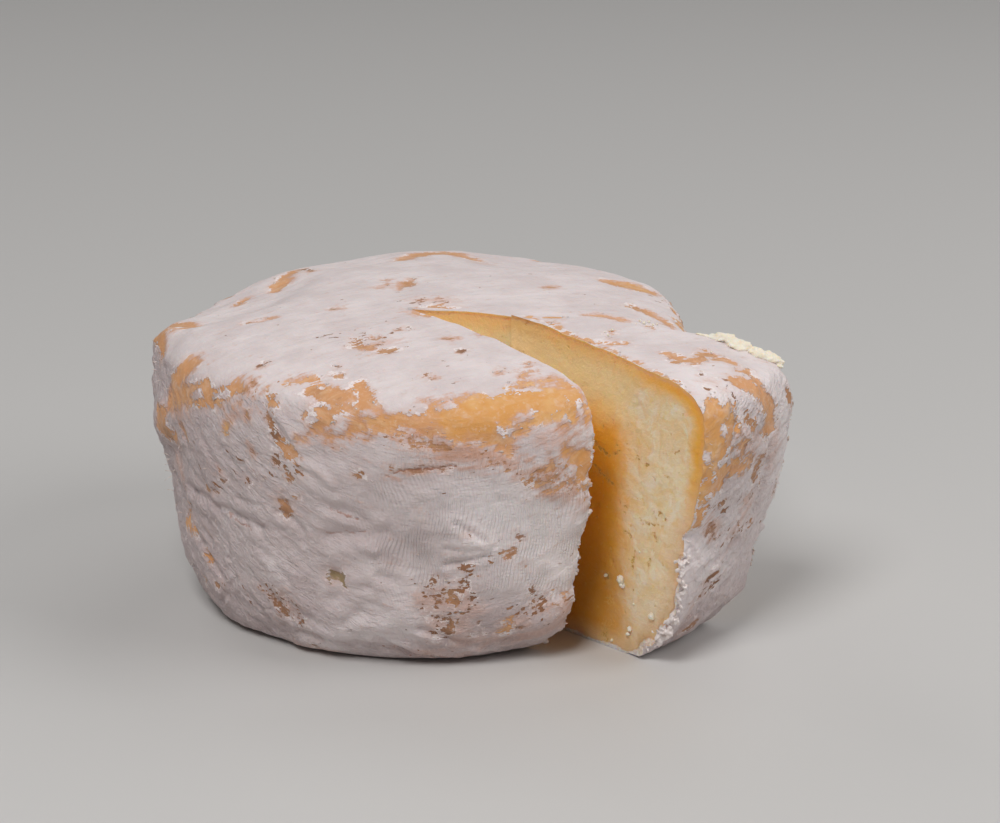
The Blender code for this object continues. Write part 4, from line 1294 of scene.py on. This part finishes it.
    m.link(m.bump(relief, 1.0, 0.9), m.p.inputs["Normal"])
    m.p.inputs["Subsurface Weight"].default_value = 0.12
    m.p.inputs["Subsurface Radius"].default_value = (1.0, 0.55, 0.35)
    m.p.inputs["Subsurface Scale"].default_value = 0.0007
    m.p.inputs["Specular IOR Level"].default_value = 0.28
    m.p.inputs["Sheen Weight"].default_value = 0.12
    m.p.inputs["Sheen Roughness"].default_value = 0.6
    return m.mat


def paste_material():
    m = Tree("soft_paste")
    d, out, split = m.attr("depth"), m.attr("out"), m.attr("split")
    n5, n2, nf = m.noise(6.0, 3.0, 0.6, distort=0.4), m.noise(1.9, 3.0, 0.62), m.noise(0.55, 3.0, 0.65)
    cream, pale, yellow = (0.93, 0.70, 0.42), (0.95, 0.78, 0.54), (0.90, 0.62, 0.26)
    col = m.mix(m.ramp(n5, 0.32, 0.66), cream, pale)
    col = m.mix(m.math("MULTIPLY", m.ramp(m.noise(4.2, 4.0, 0.65, distort=0.8), 0.54, 0.70), 0.60), col, yellow)
    col = m.mix(m.math("MULTIPLY", m.ramp(n2, 0.50, 0.72), 0.35), col, pale)
    col = m.mix(m.math("MULTIPLY", m.ramp(n2, 0.42, 0.28), 0.30), col, yellow)
    curd = m.noise(4.2, 4.0, 0.6, distort=1.0)
    col = m.mix(m.math("MULTIPLY", m.ramp(curd, 0.50, 0.62), 0.75), col, (0.97, 0.86, 0.68))
    col = m.mix(m.math("MULTIPLY", m.ramp(curd, 0.47, 0.37), 0.45), col, (0.90, 0.64, 0.29))
    seep = m.noise(2.1, 4.0, 0.72, distort=0.8)
    col = m.mix(m.math("MULTIPLY", m.ramp(seep, 0.57, 0.66), 0.55), col, (0.91, 0.65, 0.25))
    col = m.mix(m.ramp(m.dot((0, 0, 1)), 22.0, 3.0, 0.0, 0.35), col, (0.82, 0.60, 0.36))
    # painted shade and glow deep in the notch: near the notch's point the paste is painted a saturated amber for the
    # slot's shadow and for light bounced about and passed through the paste, pale near the top, darkest low down
    o = m.math("ADD", m.away(n5, 3.0), out)
    notch_shade = m.ramp(o, 33.0, 24.5)
    notch_shade_height = m.math("ADD", m.away(n5, 6.0), m.dot((0, 0, 1)))
    notch_shade_colour = m.mix(m.ramp(notch_shade_height, 50.5, 40.0), (1.0, 0.79, 0.45), (0.90, 0.41, 0.012))
    notch_shade_colour = m.mix(m.ramp(notch_shade_height, 28.0, 8.0), notch_shade_colour, (0.68, 0.285, 0.008))
    col = m.mix(m.math("MULTIPLY", notch_shade, 0.92), col, notch_shade_colour)
    # the riper band under the rind, wide at the shoulder
    dn = m.math("ADD", m.away(n2, 0.9), d)
    dn = m.math("ADD", m.away(n5, 1.6), dn)
    high = m.ramp(m.dot((0, 0, 1)), 24.0, 42.0)
    far = m.ramp(out, 24.0, 42.0)
    wide = m.math("MULTIPLY", m.ramp(dn, 5.0, 0.8), m.math("MULTIPLY_ADD", m.math("MULTIPLY", high, far), 0.25, 0.50))
    col = m.mix(wide, col, m.mix(high, (0.80, 0.56, 0.33), (0.93, 0.59, 0.20)))
    thin_band = m.math("MULTIPLY", m.ramp(dn, 4.3, 1.0), m.math("MULTIPLY_ADD", m.math("MULTIPLY", high, far), 0.74, 0.16))
    col = m.mix(thin_band, col, m.mix(high, (0.82, 0.54, 0.31), (0.92, 0.455, 0.035)))
    crust = m.math("ADD", m.away(nf, 0.9), m.math("ADD", m.away(n2, 1.5), d))
    col = m.mix(m.math("MULTIPLY", m.ramp(crust, 0.85, 0.45), m.math("MULTIPLY", m.ramp(m.dot((0, 0, 1)), 50.0, 54.0), 0.80)), col, (0.78, 0.47, 0.29))
    dn2 = m.math("ADD", m.away(n2, 0.8), d)
    col = m.mix(m.math("MULTIPLY", m.ramp(dn2, 1.7, 0.5), m.math("MULTIPLY_ADD", high, 0.05, 0.28)), col, (0.78, 0.48, 0.26))
    de = m.math("ADD", m.away(nf, 0.7), d)
    de = m.math("ADD", m.away(n2, 0.5), de)
    col = m.mix(m.math("MULTIPLY", m.ramp(de, 0.62, 0.34), 0.7), col, m.mix(high, (0.70, 0.42, 0.24), (0.82, 0.46, 0.17)))
    col = m.mix(m.math("MULTIPLY", m.ramp(de, 0.24, 0.08), m.math("MULTIPLY_ADD", m.math("MAXIMUM", m.attr("lip"), m.ramp(m.dot((0, 0, 1)), 4.0, 2.0)), 0.78, 0.12)), col, m.mix(m.ramp(nf, 0.40, 0.62), (0.78, 0.66, 0.60), (0.95, 0.88, 0.85)))
    # splits and pinholes: amber paste round them, and painted shade darkening them inside
    blot = m.math("ADD", m.math("ADD", m.away(n2, 1.2), m.away(n5, 1.2)), m.attr("stain"))
    col = m.mix(m.math("MULTIPLY", m.ramp(blot, 0.25, 1.15), 0.62), col, (0.60, 0.37, 0.17))
    sp = m.math("ADD", m.away(nf, 2.2), m.math("ADD", m.away(n2, 0.8), split))
    col = m.mix(m.math("MULTIPLY", m.ramp(sp, 0.18, 0.60), 0.45), col, (0.85, 0.56, 0.17))
    col = m.mix(m.math("MULTIPLY", m.ramp(sp, 0.48, 0.74), 0.75), col, (0.56, 0.30, 0.06))
    pits = m.ramp(m.noise(1.3, 2.0, 0.6), 0.675, 0.74)
    col = m.mix(m.math("MULTIPLY", pits, 0.45), col, (0.80, 0.50, 0.14))
    m.link(col, m.p.inputs["Base Color"])
    m.link(m.ramp(n2, 0.3, 0.7, 0.44, 0.62), m.p.inputs["Roughness"])
    relief = m.math("MULTIPLY", n2, 0.36)
    relief = m.math("MULTIPLY_ADD", nf, 0.19, relief)
    relief = m.math("MULTIPLY_ADD", m.noise(0.22, 2.0, 0.6), 0.04, relief)
    relief = m.math("MULTIPLY_ADD", pits, -0.25, relief)
    relief = m.math("MULTIPLY_ADD", m.ramp(sp, 0.42, 0.80), -0.32, relief)
    relief = m.math("MULTIPLY_ADD", m.math("MULTIPLY", m.math("MULTIPLY", m.ramp(de, 0.35, 0.05), m.attr("lip")), m.noise(0.7, 2.0, 0.6)), 0.55, relief)
    m.link(m.bump(relief, 1.0, 0.75), m.p.inputs["Normal"])
    m.link(m.ramp(out, 1.0, 12.0, 0.04, 0.60), m.p.inputs["Subsurface Weight"])
    m.p.inputs["Subsurface Radius"].default_value = (1.0, 0.60, 0.25)
    m.p.inputs["Subsurface Scale"].default_value = 0.0035
    m.p.inputs["Specular IOR Level"].default_value = 0.4
    return m.mat


def crumb_material(name, light, dark, rough=0.6, glow=0.25):
    m = Tree(name)
    n = m.noise(0.8, 3.0, 0.6)
    m.link(m.mix(m.ramp(n, 0.35, 0.68), dark, light), m.p.inputs["Base Color"])
    m.link(m.ramp(n, 0.3, 0.7, rough - 0.08, rough + 0.1), m.p.inputs["Roughness"])
    m.link(m.bump(m.noise(0.3, 2.0, 0.6), 0.12, 0.6), m.p.inputs["Normal"])
    m.p.inputs["Subsurface Weight"].default_value = glow
    m.p.inputs["Subsurface Radius"].default_value = (1.0, 0.65, 0.35)
    m.p.inputs["Subsurface Scale"].default_value = 0.0006
    m.p.inputs["Specular IOR Level"].default_value = 0.3
    return m.mat


rind, paste = rind_material(), paste_material()
for ob, node, slot in ((wheel, "brie_wheel", "bloomy_rind"), (wedge, "brie_wedge", "soft_paste")):
    ob.data.materials.append(rind)
    ob.data.materials.append(paste)
    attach(ob, "root")
    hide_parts(node)


# --------------------------------------------------------------- loose bits --
def ball(cuts):
    bm = bmesh.new()
    bmesh.ops.create_icosphere(bm, subdivisions=cuts, radius=1.0)
    bm.verts.index_update()
    v = np.array([tuple(x.co) for x in bm.verts])
    f = [[q.index for q in p.verts] for p in bm.faces]
    bm.free()
    return v, f


def unit(v):
    v = np.asarray(v, float)
    return v / max(np.linalg.norm(v), 1e-9)


def bits(name, items, material, cuts=1, rough=0.26, seed=0, flat_shade=False):
    """Small closed crumbs and flakes in one mesh: (place, long axis, wide axis, half sizes, bend)."""
    base, fs = ball(cuts)
    rng = np.random.RandomState(seed)
    verts, faces = [], []
    for o, A, B, (sa, sb, sc), bend in items:
        A = unit(A)
        B = unit(np.asarray(B) - A * (A @ np.asarray(B)))
        C = np.cross(A, B)
        v = base * (1 + rng.uniform(-rough, rough, (len(base), 1))) + rng.normal(0, rough * 0.35, base.shape)
        x, y, z = v[:, 0], v[:, 1] * (1 - 0.35 * np.clip(v[:, 0], -1, 1)), v[:, 2]
        z = z * sc + bend * x * x
        verts.append(o + np.outer(x * sa, A) + np.outer(y * sb, B) + np.outer(z, C))
        k = len(base) * (len(verts) - 1)
        faces += [[i + k for i in f] for f in fs]
    me = bpy.data.meshes.new(name)
    me.from_pydata((np.vstack(verts) * MM).tolist(), [], faces)
    me.update()
    if not flat_shade:
        me.polygons.foreach_set("use_smooth", np.ones(len(me.polygons), dtype=bool))
    ob = bpy.data.objects.new(name, me)
    bpy.context.scene.collection.objects.link(ob)
    me.materials.append(material)
    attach(ob, "root")
    return ob


def edge_bits(S, row, angle, n_top, n_side, count, seed, size=1.0, low=0.6, high=54.0):
    """Torn shreds of rind along one upright edge of a cut."""
    rng = np.random.RandomState(seed)
    gap = np.array((-math.sin(angle), math.cos(angle), 0)) * (-1 if row == 0 else 1)
    N = grid_normals(S)[row]
    line, nor = S[row], N
    i0, i1 = n_top - 1, n_top - 1 + n_side
    seg = np.linalg.norm(np.diff(line[i0:i1 + 1], axis=0), axis=1)
    c = np.r_[0, np.cumsum(seg)]
    out = []
    clump = rng.uniform(0, 6.28, 3)
    for k in range(count):
        t = rng.uniform(0, c[-1])
        j = min(np.searchsorted(c, t) - 1, len(seg) - 1)
        j = max(j, 0)
        w = (t - c[j]) / max(seg[j], 1e-9)
        o = line[i0 + j] * (1 - w) + line[i0 + j + 1] * w
        if not (low < o[2] < high):
            continue
        if rng.rand() > 0.55 + 0.45 * math.sin(t * 0.9 + clump[0]) * math.sin(t * 0.37 + clump[1]):
            continue
        n = nor[i0 + j]
        n = unit(n - gap * (n @ gap))
        e = unit(line[i0 + j + 1] - line[i0 + j])
        u1, u2, u3 = rng.uniform(-.1, 0.8), rng.uniform(0.15, 1.0), rng.uniform(-.7, .7)
        A = unit(n * u1 + gap * u2 + e * u3)
        B = unit(e + rng.normal(0, .35, 3))
        g = size * 0.85 * math.exp(rng.normal(0, .38))
        out.append((o - n * 0.14 + A * 0.06 * g, A, B, (0.27 * g, 0.25 * g, 0.085 * g), rng.uniform(-.08, .10)))
    return out


n_wheel, n_wedge = (44, 118), (60, 150)
fringe = []
fringe += edge_bits(wheel_skin, -1, NEAR, *n_wheel, 330, 51, 1.0, 2.0, 46.0)
fringe += edge_bits(wheel_skin, 0, FAR, *n_wheel, 300, 52, 0.95)
fringe += edge_bits(wedge_skin, 0, NEAR + TURN, *n_wedge, 200, 53, 0.8, 3.0, 36.0)
fringe += edge_bits(wedge_skin, -1, FAR + TURN, *n_wedge, 320, 54, 1.0)

# torn clumps of rind at the foot of the wedge's near edge
rng = np.random.RandomState(61)
clumps = []
near_edge = wedge_skin[0]
near_edge = near_edge[(near_edge[:, 2] > 3.2) & (near_edge[:, 2] < 27.0)]
for _ in range(430):
    o = near_edge[rng.randint(len(near_edge))]
    low_part = float(smooth(25.0, 17.0, o[2]))
    if rng.rand() > 0.08 + 0.92 * low_part * float(smooth(-.35, .15, fbm(o[None], 4.0, 1, 68))[0]):
        continue
    k = 1.2 * min(float(rng.lognormal(-.35, .45)), 1.3) * (0.45 + 0.55 * low_part) * min(1.0, 0.25 + o[2] / 8.0)
    p = o + rng.normal(0, 1, 3) * (.55, .20, .40) + np.array((0.30, 0.28, 0))
    clumps.append((p, rng.normal(0, .6, 3) + (0, 0, 1), rng.normal(0, .5, 3) + (.3, -1, .2), (0.66 * k, 0.42 * k, 0.27 * k), rng.uniform(-.1, .2)))

# thin flakes lifting beside the bare patches, and wisps of bloom
def lifting(S, values, count, seed, lo=.22, hi=.60):
    rng = np.random.RandomState(seed)
    N = grid_normals(S).reshape(-1, 3)
    P = S.reshape(-1, 3)
    rows, cols = S.shape[:2]
    r, c = np.divmod(np.arange(len(P)), cols)
    ok = np.where((values > lo) & (values < hi) & (P[:, 2] > 3) & (r > 2) & (r < rows - 3) & (c > 6))[0]
    out = []
    for i in rng.choice(ok, count, replace=False):
        n = N[i]
        A = unit(np.cross(n, rng.normal(0, 1, 3)))
        A = unit(A + n * rng.uniform(.05, .35))
        g = rng.uniform(.5, 1.25)
        out.append((P[i] + n * 0.03, A, np.cross(n, A), (0.34 * g, 0.17 * g, 0.045), rng.uniform(0, .12)))
    return out


def wisps(S, count, seed, pick):
    rng = np.random.RandomState(seed)
    N = grid_normals(S)
    rows, cols = S.shape[:2]
    out = []
    while len(out) < count:
        i, j = rng.randint(2, rows - 2), rng.randint(8, cols - 10)
        n, o = N[i, j], S[i, j]
        if n[2] > .5 or o[2] < 4 or rng.rand() > pick(o):
            continue
        A = unit(n * rng.uniform(.5, 1.1) + np.array((0, 0, -1)) * rng.uniform(-.3, .8) + rng.normal(0, .45, 3))
        g = rng.uniform(.6, 1.2)
        out.append((o + A * 0.18 * g, A, unit(rng.normal(0, 1, 3)), (0.42 * g, 0.07, 0.05), rng.uniform(-.08, .08)))
    return out


flakes = lifting(wheel_skin, wheel_bare, 230, 71) + lifting(wedge_skin, wedge_bare, 80, 72)
flakes += wisps(wheel_skin, 190, 73, lambda o: 1.0 if o[0] < -45 else 0.35)
flakes += wisps(wedge_skin, 70, 74, lambda o: 1.0)

for u, v, g in ((486, 646, .9), (494, 648, 1.0), (501, 648, .7), (437, 656, .9), (445, 657, 1.0), (456, 655, .8), (463, 655, .6), (560, 563, .5),
                (446, 580, .5), (470, 570, .5)):
    o = spot(u, v, W)
    flakes.append((o + np.array((0, -.12, .05)), (1, .2, rng.uniform(-.3, .2)), (0, -.5, 1), (0.85 * g, 0.22 * g, 0.07), .25))
for u, v, dx, dz, g in ((166, 455, -.9, .45, 1.5), (167, 459, -1, .1, 1.1), (166, 472, -.9, .3, 1.4), (168, 476, -.8, -.5, 1.6), (170, 490, -.9, .2, 1.2),
                         (156, 347, -.8, .6, 1.0), (155, 362, -1, .2, 1.2), (157, 380, -1, -.3, 1.1), (160, 440, -.9, -.4, 1.0), (178, 512, -1, .1, .8),
                         (154, 370, -1, .3, 1.0), (166, 463, -.8, -.2, .9)):
    o = spot(u + 3, v, W)
    A = unit((dx, -.2, dz))
    flakes.append((o + A * 0.35 * g, A, (0, 1, 0), (0.75 * g, 0.10, 0.06), 0.12))
white_bits = crumb_material("torn_bloom", (0.80, 0.71, 0.68), (0.72, 0.57, 0.50), 0.8)
bits("rind_fringe", fringe, white_bits, 1, 0.36, 81)
bits("rind_flakes", flakes, white_bits, 1, 0.26, 82)
bright_bits = crumb_material("torn_bloom_thick", (0.92, 0.85, 0.83), (0.80, 0.69, 0.65), 0.85, 0.0)


def fused(ob, voxel_mm, rounds):
    """Grow a heap of overlapping bits together into one closed surface."""
    material = ob.data.materials[0]
    fuse = ob.modifiers.new("fuse", "REMESH")
    fuse.mode, fuse.voxel_size, fuse.use_smooth_shade = "VOXEL", voxel_mm * MM, True
    if rounds:
        worn_down = ob.modifiers.new("worn", "SMOOTH")
        worn_down.factor, worn_down.iterations = 0.5, rounds
    bpy.context.view_layer.update()
    made = bpy.data.meshes.new_from_object(ob.evaluated_get(bpy.context.evaluated_depsgraph_get()))
    ob.modifiers.clear()
    ob.data = made
    if not made.materials:
        made.materials.append(material)


fused(bits("rind_clumps", clumps, bright_bits, 2, 0.30, 83), 0.14, 1)

# the ridge of paste that the knife pushed up over the wedge's far top edge
far_dir = np.array((math.cos(FAR + TURN), math.sin(FAR + TURN), 0))
far_out = np.array((-math.sin(FAR + TURN), math.cos(FAR + TURN), 0))
top_line = wedge_skin[-1]
reach = (top_line - wedge_skin[-1, 0]) @ far_dir
rng = np.random.RandomState(91)
lumps = []
BURR = ((33.2, .35, .5), (35.5, .2, .3), (37.3, 1.9, 1.5), (38.6, 2.0, 1.9), (40.0, 1.7, 1.9), (41.6, 1.5, 2.0), (43.2, 1.35, 2.0),
        (44.8, 1.3, 1.9), (46.2, 1.4, 1.7), (47.4, 1.5, 1.3), (48.4, 1.3, .9))


def on_edge(t):
    j = int(np.argmin(np.abs(reach[:120] - t)))
    return top_line[j]


burr_t, burr_h, burr_w = (np.array([r[k] for r in BURR]) for k in range(3))
up = np.array((0, 0, 1.0))
for k in range(70):                      # the body, low and wide, lying over the edge
    t = rng.uniform(burr_t[0], burr_t[-1])
    rise, half = np.interp(t, burr_t, burr_h), np.interp(t, burr_t, burr_w)
    side = rng.uniform(-.7, .8)
    p = on_edge(t) + far_out * side * half * .7 + up * rise * (0.30 - 0.22 * abs(side))
    g = rng.uniform(.7, 1.2) * (.35 + .35 * half)
    lumps.append((p, far_dir + rng.normal(0, .3, 3), far_out + rng.normal(0, .3, 3), (1.2 * g, 0.9 * g, 0.38 * g), 0.0))
for k in range(34):                      # broken plates standing along its ridge
    t = rng.uniform(burr_t[1], burr_t[-1])
    rise, half = np.interp(t, burr_t, burr_h), np.interp(t, burr_t, burr_w)
    tall = rise * rng.uniform(.30, .52)
    p = on_edge(t) + far_out * half * rng.uniform(-.1, .45) + up * (rise * rng.uniform(.40, .62))
    lumps.append((p, unit(far_dir + up * rng.normal(0, .25) + far_out * rng.normal(0, .2)), unit(up + far_out * rng.uniform(.2, .9)),
                  (rng.uniform(.7, 1.5), tall, 0.30), 0.0))
cream_bits = crumb_material("soft_cream", (0.93, 0.865, 0.755), (0.90, 0.80, 0.62), 0.5)
burr = bits("cream_burr", lumps, cream_bits, 2, 0.22, 92)
fused(burr, 0.20, 4)

# crumbs on the cut face, and a few on top
crumbs = []
rng = np.random.RandomState(95)
face_n = np.array((math.sin(NEAR + TURN), -math.cos(NEAR + TURN), 0))
for u, v, g in ((652, 616, .85), (621, 579, 1.0), (623, 585, .7), (630, 629, .62), (628, 634, .5), (606, 575, .45),
                (640, 552, .3), (612, 640, .35), (634, 604, .3)):
    o = spot(u, v, G)
    crumbs.append((o + face_n * 0.16 * g, rng.normal(0, 1, 3), rng.normal(0, 1, 3), (0.90 * g, 0.84 * g, 0.66 * g), 0.0))
for u, v, g in ((640, 322, .5), (644, 324, .6), (649, 323, .55), (653, 326, .5), (657, 325, .4), (646, 327, .4), (636, 325, .35)):
    crumbs.append((spot(u, v, W) + np.array((0, 0, .25)), rng.normal(0, 1, 3), rng.normal(0, 1, 3), (0.5 * g, 0.42 * g, 0.36 * g), 0.0))
for u, v, g in ((612, 331, .5), (608, 336, .45), (605, 333, .35), (711, 353, .4)):
    crumbs.append((spot(u, v, G) + np.array((0, 0, .2)), rng.normal(0, 1, 3), rng.normal(0, 1, 3), (0.5 * g, 0.42 * g, 0.36 * g), 0.0))
bits("paste_crumbs", crumbs, cream_bits, 3, 0.15, 96)


# -------------------------------------------------------------------- stage --
def plain(name, colour, rough):
    mat = bpy.data.materials.new(name)
    mat.use_nodes = True
    p = mat.node_tree.nodes["Principled BSDF"]
    p.inputs["Base Color"].default_value = (*colour, 1)
    p.inputs["Roughness"].default_value = rough
    return mat


bpy.ops.mesh.primitive_plane_add(size=6, location=(0, 0, -0.00002))
floor = bpy.context.object
floor.name = "floor"
floor.data.materials.append(plain("floor_mat", (0.60, 0.585, 0.57), 0.7))


def area(name, loc, target, size, power, colour=(1, 1, 1)):
    lamp = bpy.data.lights.new(name, "AREA")
    lamp.shape = "DISK"
    lamp.size = size
    lamp.energy = power
    lamp.color = colour
    ob = bpy.data.objects.new(name, lamp)
    ob.location = loc
    ob.rotation_euler = (Vector(target) - Vector(loc)).to_track_quat("-Z", "Y").to_euler()
    bpy.context.scene.collection.objects.link(ob)
    return ob


def around_light(name, az, el, dist, size, power, colour=(1, 1, 1)):
    """A soft disk light at a compass angle (degrees from +X) and height angle."""
    a, e = math.radians(az), math.radians(el)
    return area(name, (dist * math.cos(a) * math.cos(e), dist * math.sin(a) * math.cos(e), dist * math.sin(e)),
                (0.0, 0.0, 0.03), size, power, colour)


LIGHTS = (
    ("key", -110, 53, 1.0, 0.38, 5.15),
    ("right", -15, 38, 1.0, 0.60, 3.0),
    ("back", 48, 52, 1.0, 0.70, 1.65),
    ("rear", 128, 40, 1.0, 0.50, 0.9),
)
for light in LIGHTS:
    around_light(*light)
WORLD_STRENGTH = 0.10

world = bpy.data.worlds.new("world")
bpy.context.scene.world = world
world.use_nodes = True
world.node_tree.nodes["Background"].inputs["Color"].default_value = (1.0, 1.0, 1.0, 1)
world.node_tree.nodes["Background"].inputs["Strength"].default_value = WORLD_STRENGTH

cam = bpy.data.cameras.new("camera")
cam.sensor_width = 36.0
cam.lens = FOCAL_PX * 36.0 / 1000.0
cam.clip_start, cam.clip_end = 0.01, 20
cam_ob = bpy.data.objects.new("camera", cam)
cam_ob.location = Vector(CAMERA * MM)
cam_ob.rotation_euler = (math.pi / 2 - TILT, 0, 0)
bpy.context.scene.collection.objects.link(cam_ob)
bpy.context.scene.camera = cam_ob
bpy.context.scene.view_settings.view_transform = "Standard"

bpy.context.view_layer.update()
